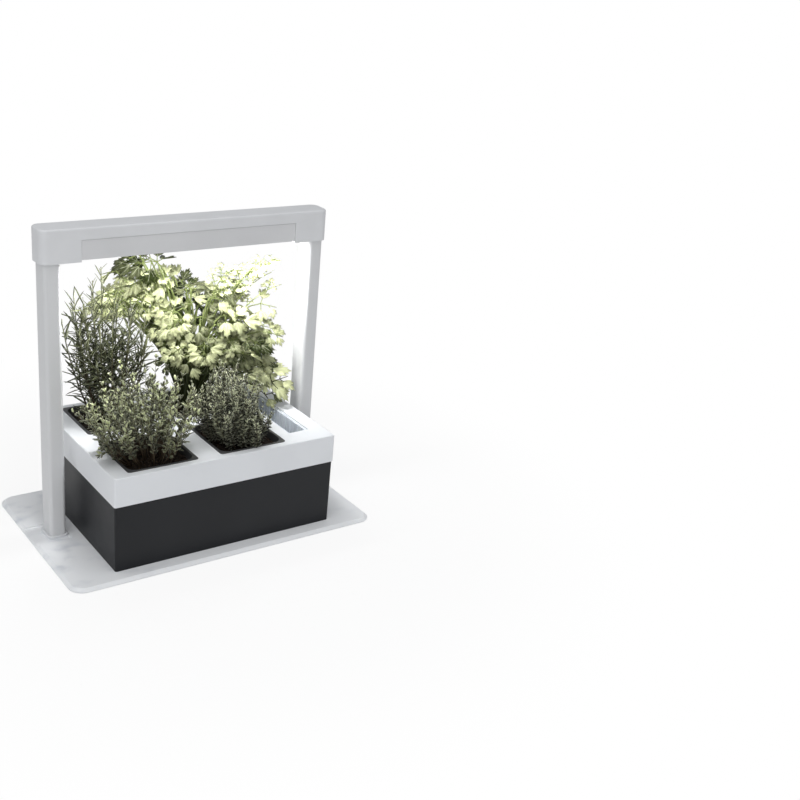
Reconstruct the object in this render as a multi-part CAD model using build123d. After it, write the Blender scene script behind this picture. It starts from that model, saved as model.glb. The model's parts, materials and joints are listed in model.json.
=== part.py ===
from build123d import *
import math
import os

# Indoor herb planter: a lamp frame on a flat base, with a four-pot self-watering planter standing in it.
# X runs along the lamp, Y to the rear and Z up. The origin is the middle of the base, on the table.

# Base
base_length = 498.0
base_depth = 316.0
base_thickness = 5.5
base_corner_radius = 22.0
base_rim_run = 5.0
base_rim_rise = 4.0
base_side_gap_y = 2.0
foot_radius = 8.0
foot_standoff = 1.5
foot_recess = 1.5
foot_inset = 34.0
notch_depth = 2.2
notch_border = 9.0
notch_radius = 3.0

# Posts
post_spacing = 421.0
post_width = 25.2
post_depth = 33.8
post_wall = 1.6
post_corner_radius = 6.0
post_y = 17.0
post_top = 445.0
collar_border = 3.4
collar_height = 2.6
block_fit = 0.15
foot_block_height = 20.0
top_block_height = 24.0
slide_fit = 0.2
screw_shank_radius = 1.7
screw_head_radius = 3.4
screw_head_height = 2.2
screw_fit = 0.1
foot_screw_length = 17.0
foot_screw_pitch = 16.0
lead_hole_radius = 5.0

# Lamp
lamp_length = 456.0
lamp_depth = 41.0
lamp_top = 474.0
lamp_height = 48.3
lamp_wall = 2.4
lamp_end_radius = 12.0
lamp_top_radius = 3.0
lamp_middle_rise = 2.7
sleeve_reach = 40.5
sleeve_wall = 2.4
sleeve_floor = 2.4
panel_height = 28.5
panel_thickness = 0.8
panel_recess = 0.7
panel_gap = 0.5
lip_reach = 2.6
lip_height = 1.4
diffuser_thickness = 2.4
diffuser_fit = 0.3
lamp_screw_length = 14.0
lamp_screw_pitch = 10.0
lamp_screw_drop = 7.0
sink_length = 320.0
sink_width = 30.0
sink_base = 3.0
sink_bottom_below_top = 30.0
sink_fin_height = 6.0
sink_fin_thickness = 1.5
sink_fin_pitch = 5.4
board_thickness = 1.6
led_board_width = 26.0
led_board_length = 312.0
led_length = 3.5
led_width = 2.8
led_height = 0.9
led_row_spacing = 14.0
leds_per_row = 18
led_row_margin = 8.0
boss_radius = 3.4
sink_boss_first = -130.0
sink_boss_pitch = 90.0
sink_bosses = 3
inner_screw_length = 11.0
inner_screw_radius = 1.2
inner_head_radius = 2.6
inner_head_height = 1.6
driver_length = 88.0
driver_width = 22.0
driver_x = 114.0
driver_standoff = 4.0
driver_boss_pitch = 60.0
driver_screw_length = 6.0
coil_length = 16.0
coil_height = 8.0
capacitor_radius = 4.0
capacitor_height = 8.5
chip_length = 7.0
chip_height = 2.0
connector_side = 6.0

# Power inlet, lead and timer button
inlet_height = 40.0
inlet_radius = 4.0
inlet_body = 10.0
inlet_flange_radius = 5.5
inlet_flange = 1.2
inlet_bore_radius = 2.75
inlet_bore_length = 9.5
inlet_pin_radius = 1.05
inlet_fit = 0.1
terminal_length = 6.0
nut_thickness = 2.0
nut_radius = 6.5
nut_sides = 6
lead_radius = 1.6
lead_bend = 16.0
lead_run_below_top = 11.0
button_x = 146.0
button_radius = 6.0
button_proud = 1.4
button_fit = 0.25
button_flange_radius = 7.6
button_flange = 1.0
button_travel = 1.2
button_stem_radius = 2.4
button_stem = 2.6
button_below_top = 14.0
switch_side = 8.0
switch_depth = 6.5
plunger_radius = 1.4
plunger_length = 1.5
end_clearance = 0.3

# Reservoir, shelf and mat
tray_length = 360.0
tray_depth = 274.0
seam_above_base = 103.0
reservoir_inset = 1.0
reservoir_wall = 2.5
reservoir_floor = 3.0
reservoir_draft = 0.5
tray_corner_radius = 3.0
shelf_height = 37.0
shelf_thickness = 2.5
shelf_fit = 1.2
shelf_hole_radius = 5.0
shelf_hole_pitch = 42.0
shelf_hole_columns = 6
shelf_hole_rows = 6
shelf_leg_radius = 6.0
shelf_leg_pitch = 100.0
shelf_window_margin = 4.0
ledge_rib_width = 3.0
ledge_rib_reach = 6.0
mat_thickness = 2.5
mat_margin = 8.0
tail_width = 60.0
tail_thickness = 3.0
tail_fit = 1.0
tail_above_floor = 2.0

# Cover and fill well
cover_height = 44.3
cover_top = 3.0
cover_wall = 3.0
cover_edge_radius = 1.4
tongue_depth = 8.0
tongue_wall = 2.0
tongue_fit = 0.6
pot_opening = 110.0
pot_opening_radius = 5.0
pot_pitch_x = 144.8
pot_pitch_y = 142.0
pot_side_rim = 24.7
pot_ledge = 3.0
pot_seat_depth = 2.5
socket_wall = 5.6
socket_height = 8.0
slot_width = 36.6
slot_length = 202.0
slot_side_rim = 25.7
slot_radius = 3.0
well_seat_depth = 4.2
well_ledge = 2.5
well_flange = 2.0
well_fit = 0.3
well_wall = 1.6
well_depth = 86.0
well_rib_pitch = 8.0
well_rib_width = 1.6
well_rib_reach = 0.8
well_slot_length = 12.0
well_slot_width = 18.0
well_slot_pitch = 20.0

# Pots and soil
pot_fit = 0.4
pot_rim_proud = 0.5
pot_wall = 1.4
pot_bottom_width = 84.0
pot_corner_radius = 7.0
pot_mat_gap = 0.3
pot_drain_radius = 4.0
pot_drain_pitch = 28.0
soil_fit = 0.3
soil_below_rim = 11.0

# Plants
crown_height = 7.0
plant_sides = 6
rosemary_crown_radius = 20.0
rosemary_height = 248.0
rosemary_lean_x = -8.0
rosemary_lean_y = -8.0
rosemary_reach_x = 52.0
rosemary_reach_y = 40.0
rosemary_sprigs = 17
rosemary_girth = 13.0
lemon_thyme_crown_radius = 36.0
lemon_thyme_height = 162.0
lemon_thyme_lean_x = -6.0
lemon_thyme_lean_y = -4.0
lemon_thyme_reach_x = 68.0
lemon_thyme_reach_y = 56.0
lemon_thyme_sprigs = 22
lemon_thyme_girth = 12.0
thyme_crown_radius = 30.0
thyme_height = 150.0
thyme_lean_x = -5.0
thyme_lean_y = -3.0
thyme_reach_x = 48.0
thyme_reach_y = 48.0
thyme_sprigs = 20
thyme_girth = 11.0
parsley_crown_radius = 15.0
parsley_height = 250.0
parsley_reach = 150.0
parsley_stalk_radius = 2.2
parsley_leaf_radius = 28.0
parsley_leaf_thickness = 2.6

cut_overrun = 10.0

# Places that follow from the sizes above
base_top = foot_standoff + base_thickness
collar_width = post_width + collar_border + collar_border
collar_depth = post_depth + collar_border + collar_border
collar_radius = post_corner_radius + collar_border
hole_width = post_width + slide_fit + slide_fit
hole_depth = post_depth + slide_fit + slide_fit
hole_radius = post_corner_radius + slide_fit
shank_hole_radius = screw_shank_radius + screw_fit
head_hole_radius = screw_head_radius + screw_fit
inner_hole_radius = inner_screw_radius + screw_fit
seam_z = base_top + seam_above_base
cover_z = seam_z + cover_height
tray_y = base_side_gap_y
lamp_bottom = lamp_top - lamp_height
lamp_middle_bottom = lamp_bottom + lamp_middle_rise
chamber_top = lamp_top - lamp_wall
chamber_length = post_spacing - sleeve_reach - sleeve_reach
sleeve_length = (lamp_length - chamber_length) / 2
chamber_depth = lamp_depth - lamp_wall - lamp_wall
lip_top = lamp_middle_bottom + lip_height
lamp_rear = post_y + lamp_depth / 2
lamp_front = post_y - lamp_depth / 2
sink_bottom = lamp_top - sink_bottom_below_top
sink_top = sink_bottom + sink_base
led_board_bottom = sink_bottom - board_thickness
driver_top = chamber_top - driver_standoff
driver_bottom = driver_top - board_thickness
lead_run_z = lamp_top - lead_run_below_top
shelf_z = base_top + shelf_height
mat_z = shelf_z + shelf_thickness
mat_top = mat_z + mat_thickness
pot_seat_z = cover_z - pot_seat_depth
pot_rim_z = cover_z + pot_rim_proud
pot_bottom_z = mat_top + pot_mat_gap
pot_body_width = pot_opening - pot_ledge - pot_ledge - pot_fit - pot_fit
soil_z = pot_rim_z - soil_below_rim
pot_left_x = -tray_length / 2 + pot_side_rim + pot_opening / 2
pots_middle_x = pot_left_x + pot_pitch_x / 2
slot_x = tray_length / 2 - slot_side_rim - slot_width / 2

columns = {"left": pot_left_x, "right": pot_left_x + pot_pitch_x}
rows = {"front": tray_y - pot_pitch_y / 2, "rear": tray_y + pot_pitch_y / 2}
pot_places = {f"{row}_{column}": (columns[column], rows[row]) for row in rows for column in columns}
sides = {"left": -1, "right": 1}


def block(length, depth, low, high, x=0, y=0):
    """A plain box between two heights."""
    return Pos(x, y, (low + high) / 2) * Box(length, depth, high - low)


def rounded_block(length, depth, radius, low, high, x=0, y=0):
    """A box with round upright edges between two heights."""
    outline = Plane.XY.offset(low) * Pos(x, y) * RectangleRounded(length, depth, radius)
    return extrude(outline, high - low)


def drafted_block(length, depth, radius, low, high, draft, x=0, y=0):
    """A box that widens upwards by a draft angle in degrees, measured at its foot."""
    outline = Plane.XY.offset(low) * Pos(x, y) * RectangleRounded(length, depth, radius)
    return extrude(outline, high - low, taper=-draft)


def upright(radius, low, high, x=0, y=0):
    """A vertical cylinder between two heights."""
    return Pos(x, y, (low + high) / 2) * Cylinder(radius, high - low)


def along_y(radius, front, rear, x, z):
    """A cylinder along Y between two places."""
    return Pos(x, (front + rear) / 2, z) * Rot(X=90) * Cylinder(radius, rear - front)


def screw_up(x, y, head_z, length, shank_radius, head_radius, head_height):
    """A screw driven upwards, its head's face at head_z."""
    head = upright(head_radius, head_z, head_z + head_height, x, y)
    return head + upright(shank_radius, head_z, head_z + length, x, y)


def screw_in_y(x, head_y, z, length):
    """A screw driven towards the front, its head's face at head_y."""
    head = along_y(screw_head_radius, head_y - screw_head_height, head_y, x, z)
    return head + along_y(screw_shank_radius, head_y - length, head_y, x, z)


def save(name, shape):
    """Writes one piece, as one solid or a group of separate ones."""
    solids = shape.solids()
    export_step(solids[0] if len(solids) == 1 else Compound(children=solids), f"parts/{name}.step")


# Base

def foot_places():
    """The four feet, in from the base's corners."""
    reach_x = base_length / 2 - foot_inset
    reach_y = base_depth / 2 - foot_inset
    return [(x, y) for x in (-reach_x, reach_x) for y in (-reach_y, reach_y)]


def foot_screw_places(side):
    """Two screws under each post."""
    x = side * post_spacing / 2
    return [(x, post_y + step * foot_screw_pitch / 2) for step in (-1, 1)]


def base_plate():
    """A flat plate with a sloped rim, and a shallow notch from each end in to the post."""
    plate = rounded_block(base_length, base_depth, base_corner_radius, foot_standoff, base_top)
    rim = plate.faces().sort_by(Axis.Z)[-1].edges()
    plate = chamfer(rim, base_rim_rise, base_rim_run)
    notch_width = collar_depth + notch_border + notch_border
    notch_end = (post_spacing - collar_width) / 2
    notch_floor = base_top - notch_depth
    length = base_length / 2 + cut_overrun - notch_end
    for side in sides.values():
        plate -= rounded_block(length, notch_width, notch_radius, notch_floor, base_top + cut_overrun,
                               side * (notch_end + length / 2), post_y)
        plate += rounded_block(collar_width, collar_depth, collar_radius, notch_floor, base_top,
                               side * post_spacing / 2, post_y)
        for x, y in foot_screw_places(side):
            plate -= upright(shank_hole_radius, 0, base_top + cut_overrun, x, y)
            plate -= upright(head_hole_radius, 0, foot_standoff + screw_head_height + screw_fit, x, y)
    for x, y in foot_places():
        plate -= upright(foot_radius + screw_fit, 0, foot_standoff + foot_recess, x, y)
    return plate


def base_feet():
    """Four rubber discs, let into the base's underside."""
    top = foot_standoff + foot_recess
    return Compound(children=[upright(foot_radius, 0, top, x, y) for x, y in foot_places()])


def post(side):
    """A hollow upright with round corners, drilled for the screws at its top."""
    x = side * post_spacing / 2
    tube = rounded_block(post_width, post_depth, post_corner_radius, base_top, post_top, x, post_y)
    tube -= rounded_block(post_width - post_wall - post_wall, post_depth - post_wall - post_wall,
                          post_corner_radius - post_wall, 0, post_top + cut_overrun, x, post_y)
    for z in lamp_screw_heights():
        tube -= along_y(shank_hole_radius, post_y, lamp_rear, x, z)
    if side > 0:
        tube -= along_y(inlet_radius + inlet_fit, post_y, lamp_rear, x, inlet_height)
    return tube


def foot_collar(side):
    """A thin ring round the foot of a post."""
    x = side * post_spacing / 2
    collar_top = base_top + collar_height
    collar = rounded_block(collar_width, collar_depth, collar_radius, base_top, collar_top, x, post_y)
    collar = fillet(collar.faces().sort_by(Axis.Z)[-1].edges(), collar_height / 2)
    return collar - rounded_block(hole_width, hole_depth, hole_radius, 0, post_top, x, post_y)


def plug(low, high, x):
    """A block that fits inside a post."""
    shrink = post_wall + block_fit
    width = post_width - shrink - shrink
    depth = post_depth - shrink - shrink
    return rounded_block(width, depth, post_corner_radius - shrink, low, high, x, post_y)


def foot_block(side):
    """The block in a post's foot that the screws from below hold."""
    x = side * post_spacing / 2
    body = plug(base_top, base_top + foot_block_height, x)
    hole_top = foot_standoff + foot_screw_length + screw_fit
    for at_x, at_y in foot_screw_places(side):
        body -= upright(shank_hole_radius, 0, hole_top, at_x, at_y)
    return body


def foot_screws():
    """Two screws up into each foot block."""
    places = [place for side in sides.values() for place in foot_screw_places(side)]
    return Compound(children=[screw_up(x, y, foot_standoff, foot_screw_length, screw_shank_radius,
                                       screw_head_radius, screw_head_height) for x, y in places])


# Lamp

def lamp_screw_heights():
    """The heights of the two screws at the back of each sleeve."""
    top = post_top - lamp_screw_drop
    return [top, top - lamp_screw_pitch]


def top_block(side):
    """The block in a post's top that the lamp is screwed to, open for the lead."""
    x = side * post_spacing / 2
    body = plug(post_top - top_block_height, post_top, x)
    body -= upright(lead_hole_radius, 0, post_top + cut_overrun, x, post_y)
    hole_end = lamp_rear - lamp_screw_length - screw_fit
    for z in lamp_screw_heights():
        body -= along_y(shank_hole_radius, hole_end, lamp_rear, x, z)
    return body


def lamp_screws():
    """Two screws through the back of each sleeve."""
    return Compound(children=[screw_in_y(side * post_spacing / 2, lamp_rear, z, lamp_screw_length)
                              for side in sides.values() for z in lamp_screw_heights()])


def driver_boss_places():
    """The bosses that the driver board hangs from."""
    return [(driver_x + step * driver_boss_pitch / 2, post_y) for step in (-1, 1)]


def sink_boss_places():
    """The bosses that the heat sink hangs from, clear of the driver board."""
    return [(sink_boss_first + i * sink_boss_pitch, post_y) for i in range(sink_bosses)]


def sleeve_hollow(side):
    """The space inside one end of the lamp, round the sleeve that takes the post."""
    length = sleeve_length - sleeve_wall - lamp_wall
    x = side * (chamber_length / 2 + sleeve_wall + length / 2)
    hollow = rounded_block(length, chamber_depth, lamp_end_radius - lamp_wall, lamp_bottom + sleeve_floor,
                           chamber_top, x, post_y)
    return hollow - block(hole_width + sleeve_wall + sleeve_wall, lamp_depth, lamp_bottom, post_top,
                          side * post_spacing / 2, post_y)


def panel_pocket():
    """The recess for the front panel, open at its lower edge."""
    depth = panel_recess + panel_thickness
    return block(chamber_length, depth, lamp_middle_bottom, lamp_middle_bottom + panel_height, 0,
                 lamp_front + depth / 2)


def lamp_housing():
    """The lamp's shell: an upside-down tray between two sleeves that slip over the posts."""
    shell = rounded_block(lamp_length, lamp_depth, lamp_end_radius, lamp_bottom, lamp_top, 0, post_y)
    shell = fillet(shell.faces().sort_by(Axis.Z)[-1].edges(), lamp_top_radius)
    shell -= block(chamber_length, chamber_depth, lip_top, chamber_top, 0, post_y)
    shell -= block(chamber_length, chamber_depth - lip_reach - lip_reach, 0, lip_top, 0, post_y)
    shell -= block(chamber_length, lamp_depth + cut_overrun, 0, lamp_middle_bottom, 0, post_y)
    rear = lamp_rear + cut_overrun
    for side in sides.values():
        x = side * post_spacing / 2
        shell -= sleeve_hollow(side)
        shell -= rounded_block(hole_width, hole_depth, hole_radius, 0, post_top + slide_fit, x, post_y)
        for z in lamp_screw_heights():
            shell -= along_y(shank_hole_radius, post_y, rear, x, z)
            shell -= along_y(head_hole_radius, lamp_rear - screw_head_height - screw_fit, rear, x, z)
    lead_hole = Cylinder(lead_hole_radius, sleeve_wall + cut_overrun + cut_overrun)
    shell -= Pos(chamber_length / 2, post_y, lead_run_z) * Rot(Y=90) * lead_hole
    shell -= panel_pocket()
    sink_hole_top = led_board_bottom - inner_head_height + inner_screw_length + screw_fit
    for x, y in sink_boss_places():
        shell += upright(boss_radius, sink_top, chamber_top, x, y)
        shell -= upright(inner_hole_radius, 0, sink_hole_top, x, y)
    driver_hole_top = driver_bottom - inner_head_height + driver_screw_length + screw_fit
    for x, y in driver_boss_places():
        shell += upright(boss_radius, driver_top, chamber_top, x, y)
        shell -= upright(inner_hole_radius, 0, driver_hole_top, x, y)
    shell -= along_y(button_radius + button_fit, post_y, rear, button_x, button_z())
    return shell


def lamp_front_panel():
    """The darker strip let into the front of the lamp."""
    low = lamp_middle_bottom
    high = lamp_middle_bottom + panel_height - panel_gap
    return block(chamber_length - panel_gap - panel_gap, panel_thickness, low, high, 0,
                 lamp_front + panel_recess + panel_thickness / 2)


def heat_sink():
    """A finned aluminium bar behind the light-emitting board."""
    bar = block(sink_length, sink_width, sink_bottom, sink_top, 0, post_y)
    for step in (-2, -1, 1, 2):
        bar += block(sink_length, sink_fin_thickness, sink_top, sink_top + sink_fin_height, 0,
                     post_y + step * sink_fin_pitch)
    for x, y in sink_boss_places():
        bar -= upright(inner_hole_radius, 0, lamp_top, x, y)
    return bar


def led_board():
    """The long board that carries the light-emitting chips."""
    board = block(led_board_length, led_board_width, led_board_bottom, sink_bottom, 0, post_y)
    for x, y in sink_boss_places():
        board -= upright(inner_hole_radius, 0, lamp_top, x, y)
    return board


def led_chips():
    """Two rows of small chips under the board."""
    run = led_board_length - led_row_margin - led_row_margin - led_length
    chips = []
    for row in (-1, 1):
        for i in range(leds_per_row):
            x = -run / 2 + run * i / (leds_per_row - 1)
            chips.append(block(led_length, led_width, led_board_bottom - led_height, led_board_bottom, x,
                               post_y + row * led_row_spacing / 2))
    return Compound(children=chips)


def lamp_diffuser():
    """The frosted plate that lies on the lips of the lamp's mouth."""
    length = chamber_length - diffuser_fit - diffuser_fit
    depth = chamber_depth - diffuser_fit - diffuser_fit
    return block(length, depth, lip_top, lip_top + diffuser_thickness, 0, post_y)


def inner_screws():
    """Screws that hold the heat sink with its board, and the driver board."""
    screws = [screw_up(x, y, led_board_bottom - inner_head_height, inner_screw_length, inner_screw_radius,
                       inner_head_radius, inner_head_height) for x, y in sink_boss_places()]
    screws += [screw_up(x, y, driver_bottom - inner_head_height, driver_screw_length, inner_screw_radius,
                        inner_head_radius, inner_head_height) for x, y in driver_boss_places()]
    return Compound(children=screws)


def driver_board():
    """The board that drives the lamp, with its coil, capacitor and chip hanging below it."""
    board = block(driver_length, driver_width, driver_bottom, driver_top, driver_x, post_y)
    for x, y in driver_boss_places():
        board -= upright(inner_hole_radius, 0, lamp_top, x, y)
    board += block(coil_length, coil_length, driver_bottom - coil_height, driver_bottom,
                   driver_x - coil_length, post_y)
    board += upright(capacitor_radius, driver_bottom - capacitor_height, driver_bottom,
                     driver_x + capacitor_radius, post_y)
    board += block(chip_length, chip_length, driver_bottom - chip_height, driver_bottom,
                   driver_x + chip_length + chip_length, post_y)
    board += block(connector_side, connector_side, driver_bottom - connector_side, driver_bottom,
                   connector_end() - connector_side / 2, lead_y())
    return board


# Power inlet, lead and timer button

def lead_y():
    """Where the lead runs in the post: straight above the socket's terminals."""
    return post_y + post_depth / 2 - post_wall - inlet_body - terminal_length / 2


def connector_end():
    """The face of the driver board's connector that the lead comes to."""
    return driver_x + driver_length / 2 - board_thickness


def button_z():
    """The height of the button's axis."""
    return lamp_top - button_below_top


def power_inlet():
    """A round low-voltage socket in the back of the right post, with its pin and its terminal block."""
    x = post_spacing / 2
    wall_rear = post_y + post_depth / 2
    inner_end = wall_rear - post_wall - inlet_body
    body = along_y(inlet_radius, inner_end, wall_rear, x, inlet_height)
    body += along_y(inlet_flange_radius, wall_rear, wall_rear + inlet_flange, x, inlet_height)
    body += block(terminal_length, terminal_length, inlet_height - inlet_radius, inlet_height + inlet_radius,
                  x, inner_end - terminal_length / 2)
    bore_end = wall_rear + inlet_flange - inlet_bore_length
    body -= along_y(inlet_bore_radius, bore_end, wall_rear + cut_overrun, x, inlet_height)
    return body + along_y(inlet_pin_radius, bore_end, wall_rear, x, inlet_height)


def inlet_nut():
    """The nut that clamps the socket from inside the post."""
    wall_inner = post_y + post_depth / 2 - post_wall
    plane = Plane(origin=(post_spacing / 2, wall_inner, inlet_height), z_dir=(0, -1, 0))
    nut = extrude(plane * RegularPolygon(nut_radius, nut_sides), nut_thickness)
    return nut - along_y(inlet_radius + inlet_fit, post_y, lamp_rear, post_spacing / 2, inlet_height)


def lamp_lead():
    """The lead from the socket up inside the post and across to the driver board."""
    x = post_spacing / 2
    start = Vector(x, lead_y(), inlet_height + inlet_radius)
    end = Vector(connector_end(), lead_y(), lead_run_z)
    corner = Vector(x, lead_y(), lead_run_z)
    run = FilletPolyline(start, corner, end, radius=lead_bend)
    section = Plane(origin=start, z_dir=(0, 0, 1)) * Circle(lead_radius)
    return sweep(section, path=run)


def timer_switch():
    """The small switch on the driver board, with its plunger facing the button."""
    stem_end = lamp_rear - lamp_wall - end_clearance - button_flange - button_stem
    plunger_end = stem_end - button_travel - end_clearance
    face = plunger_end - plunger_length
    low = driver_bottom - switch_side - switch_side / 2
    body = block(switch_side, switch_depth, low, driver_bottom, button_x, face - switch_depth / 2)
    return body + along_y(plunger_radius, face, plunger_end, button_x, button_z())


def timer_button():
    """The round push button at the back of the lamp."""
    wall_inner = lamp_rear - lamp_wall - end_clearance
    cap = along_y(button_radius, wall_inner, lamp_rear + button_proud, button_x, button_z())
    cap = fillet(cap.faces().sort_by(Axis.Y)[-1].edges(), button_proud / 2)
    cap += along_y(button_flange_radius, wall_inner - button_flange, wall_inner, button_x, button_z())
    return cap + along_y(button_stem_radius, wall_inner - button_flange - button_stem, wall_inner, button_x,
                         button_z())


# Reservoir, shelf and mat

def draft_run(height):
    """How far a drafted wall moves out over a height."""
    return height * math.tan(math.radians(reservoir_draft))


def reservoir():
    """The dark water tank, drafted like a moulding, with ribs that carry the shelf."""
    top_length = tray_length - reservoir_inset - reservoir_inset
    top_depth = tray_depth - reservoir_inset - reservoir_inset
    shrink = draft_run(seam_above_base)
    length = top_length - shrink - shrink
    depth = top_depth - shrink - shrink
    tank = drafted_block(length, depth, tray_corner_radius, base_top, seam_z, reservoir_draft, 0, tray_y)
    inner_shrink = reservoir_wall + draft_run(seam_above_base - reservoir_floor)
    inner_length = top_length - inner_shrink - inner_shrink
    inner_depth = top_depth - inner_shrink - inner_shrink
    inner_low = base_top + reservoir_floor
    inner_top = seam_z + reservoir_floor
    tank -= drafted_block(inner_length, inner_depth, tray_corner_radius, inner_low, inner_top,
                          reservoir_draft, 0, tray_y)
    wall_x = inner_length / 2
    wall_y = inner_depth / 2
    for side in (-1, 1):
        for step in (-1, 0, 1):
            tank += block(ledge_rib_width, ledge_rib_reach, inner_low, shelf_z, step * wall_x / 2,
                          tray_y + side * (wall_y - ledge_rib_reach / 2 + end_clearance))
        for step in (-1, 1):
            tank += block(ledge_rib_reach, ledge_rib_width, inner_low, shelf_z,
                          side * (wall_x - ledge_rib_reach / 2 + end_clearance), tray_y + step * wall_y / 2)
    return tank


def shelf_size():
    """The shelf's length and depth, clear of the tank's walls."""
    shrink = reservoir_inset + reservoir_wall + draft_run(seam_above_base - shelf_height) + shelf_fit
    return tray_length - shrink - shrink, tray_depth - shrink - shrink


def tail_places():
    """Where the mat's two tails dip through the shelf, between the pots."""
    return [(pots_middle_x, rows["front"]), (pots_middle_x, rows["rear"])]


def pot_shelf():
    """The perforated plate that holds the mat clear of the water, with a window under the fill well."""
    length, depth = shelf_size()
    plate = block(length, depth, shelf_z, mat_z, 0, tray_y)
    first_x = pots_middle_x - (shelf_hole_columns - 1) * shelf_hole_pitch / 2
    first_y = tray_y - (shelf_hole_rows - 1) * shelf_hole_pitch / 2
    hole_places = [(first_x + i * shelf_hole_pitch, first_y + j * shelf_hole_pitch)
                   for i in range(shelf_hole_columns) for j in range(shelf_hole_rows)]
    plate -= [upright(shelf_hole_radius, 0, cover_z, x, y) for x, y in hole_places]
    gap_length = tail_width + tail_fit + tail_fit
    gap_width = tail_thickness + tail_fit + tail_fit
    for x, y in tail_places():
        plate -= block(gap_width, gap_length, 0, cover_z, x, y)
    plate -= block(slot_width - shelf_window_margin - shelf_window_margin,
                   slot_length - shelf_window_margin - shelf_window_margin, 0, cover_z, slot_x, tray_y)
    leg_foot = base_top + reservoir_floor
    for step in (-1, 0, 1):
        plate += upright(shelf_leg_radius, leg_foot, shelf_z, step * shelf_leg_pitch, tray_y)
    return plate


def capillary_mat():
    """The felt mat under the pots, with two tails that draw up the water."""
    left = columns["left"] - pot_opening / 2 - mat_margin
    right = columns["right"] + pot_opening / 2 + mat_margin
    depth = pot_pitch_y + pot_opening
    mat = block(right - left, depth, mat_z, mat_top, pots_middle_x, tray_y)
    tail_end = base_top + reservoir_floor + tail_above_floor
    for x, y in tail_places():
        mat += block(tail_thickness, tail_width, tail_end, mat_top, x, y)
    return mat


# Cover and fill well

def tray_cover():
    """The white cover: a deep skirt on the tank, four pot seats and the slot of the fill well."""
    cover = rounded_block(tray_length, tray_depth, tray_corner_radius, seam_z, cover_z, 0, tray_y)
    cover = fillet(cover.faces().sort_by(Axis.Z)[-1].edges(), cover_edge_radius)
    inner_length = tray_length - cover_wall - cover_wall
    inner_depth = tray_depth - cover_wall - cover_wall
    inner_radius = tray_corner_radius / 2
    under = cover_z - cover_top
    over = cover_z + cut_overrun
    cover -= rounded_block(inner_length, inner_depth, inner_radius, 0, under, 0, tray_y)
    tongue_shrink = reservoir_inset + reservoir_wall + tongue_fit
    tongue_length = tray_length - tongue_shrink - tongue_shrink
    tongue_width = tray_depth - tongue_shrink - tongue_shrink
    tongue_top = seam_z + tongue_depth
    band = rounded_block(tongue_length, tongue_width, tray_corner_radius, seam_z - tongue_depth, tongue_top,
                         0, tray_y)
    band += rounded_block(inner_length, inner_depth, inner_radius, seam_z, tongue_top, 0, tray_y)
    band -= rounded_block(tongue_length - tongue_wall - tongue_wall, tongue_width - tongue_wall - tongue_wall,
                          tray_corner_radius, 0, cover_z, 0, tray_y)
    cover += band
    hole = pot_opening - pot_ledge - pot_ledge
    socket = pot_opening + socket_wall
    for x, y in pot_places.values():
        cover += block(socket, socket, under - socket_height, under, x, y)
    cover += block(slot_width + socket_wall, slot_length + socket_wall, under - socket_height, under,
                   slot_x, tray_y)
    for x, y in pot_places.values():
        cover -= rounded_block(hole, hole, pot_corner_radius, 0, over, x, y)
        cover -= rounded_block(pot_opening, pot_opening, pot_opening_radius, pot_seat_z, over, x, y)
    cover -= rounded_block(slot_width, slot_length, slot_radius, cover_z - well_seat_depth, over,
                           slot_x, tray_y)
    cover -= rounded_block(slot_width - well_ledge - well_ledge, slot_length - well_ledge - well_ledge,
                           slot_radius, 0, over, slot_x, tray_y)
    return cover


def fill_well():
    """The ribbed trough that water is poured into, with slots in its floor."""
    seat = cover_z - well_seat_depth
    low = seat - well_depth
    flange_length = slot_length - well_fit - well_fit
    flange_width = slot_width - well_fit - well_fit
    body_length = flange_length - well_ledge - well_ledge
    body_width = flange_width - well_ledge - well_ledge
    well = rounded_block(body_width, body_length, slot_radius, low, seat, slot_x, tray_y)
    flange_top = seat + well_flange
    well += rounded_block(flange_width, flange_length, slot_radius, seat, flange_top, slot_x, tray_y)
    inner_width = body_width - well_wall - well_wall
    inner_length = body_length - well_wall - well_wall
    well -= rounded_block(inner_width, inner_length, slot_radius - well_wall / 2, low + well_wall,
                          cover_z + cut_overrun, slot_x, tray_y)
    ribs = int((inner_length - slot_radius - slot_radius) / well_rib_pitch)
    rib_places = [tray_y + (i - ribs / 2) * well_rib_pitch for i in range(ribs + 1)]
    well += [block(well_rib_reach + well_rib_reach, well_rib_width, low + well_wall, seat,
                   slot_x + side * inner_width / 2, y) for y in rib_places for side in (-1, 1)]
    slots = int(inner_length / well_slot_pitch)
    slot_places = [tray_y + (i - (slots - 1) / 2) * well_slot_pitch for i in range(slots)]
    well -= [block(well_slot_width, well_slot_length, 0, low + well_wall, slot_x, y) for y in slot_places]
    return well


# Pots and soil

def pot_draft():
    """The slope of a pot's wall, in degrees."""
    return math.degrees(math.atan2((pot_body_width - pot_bottom_width) / 2, pot_seat_z - pot_bottom_z))


def pot_width_at(z):
    """A pot's outer width at a height."""
    height_share = (z - pot_bottom_z) / (pot_seat_z - pot_bottom_z)
    return pot_bottom_width + (pot_body_width - pot_bottom_width) * height_share


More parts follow.
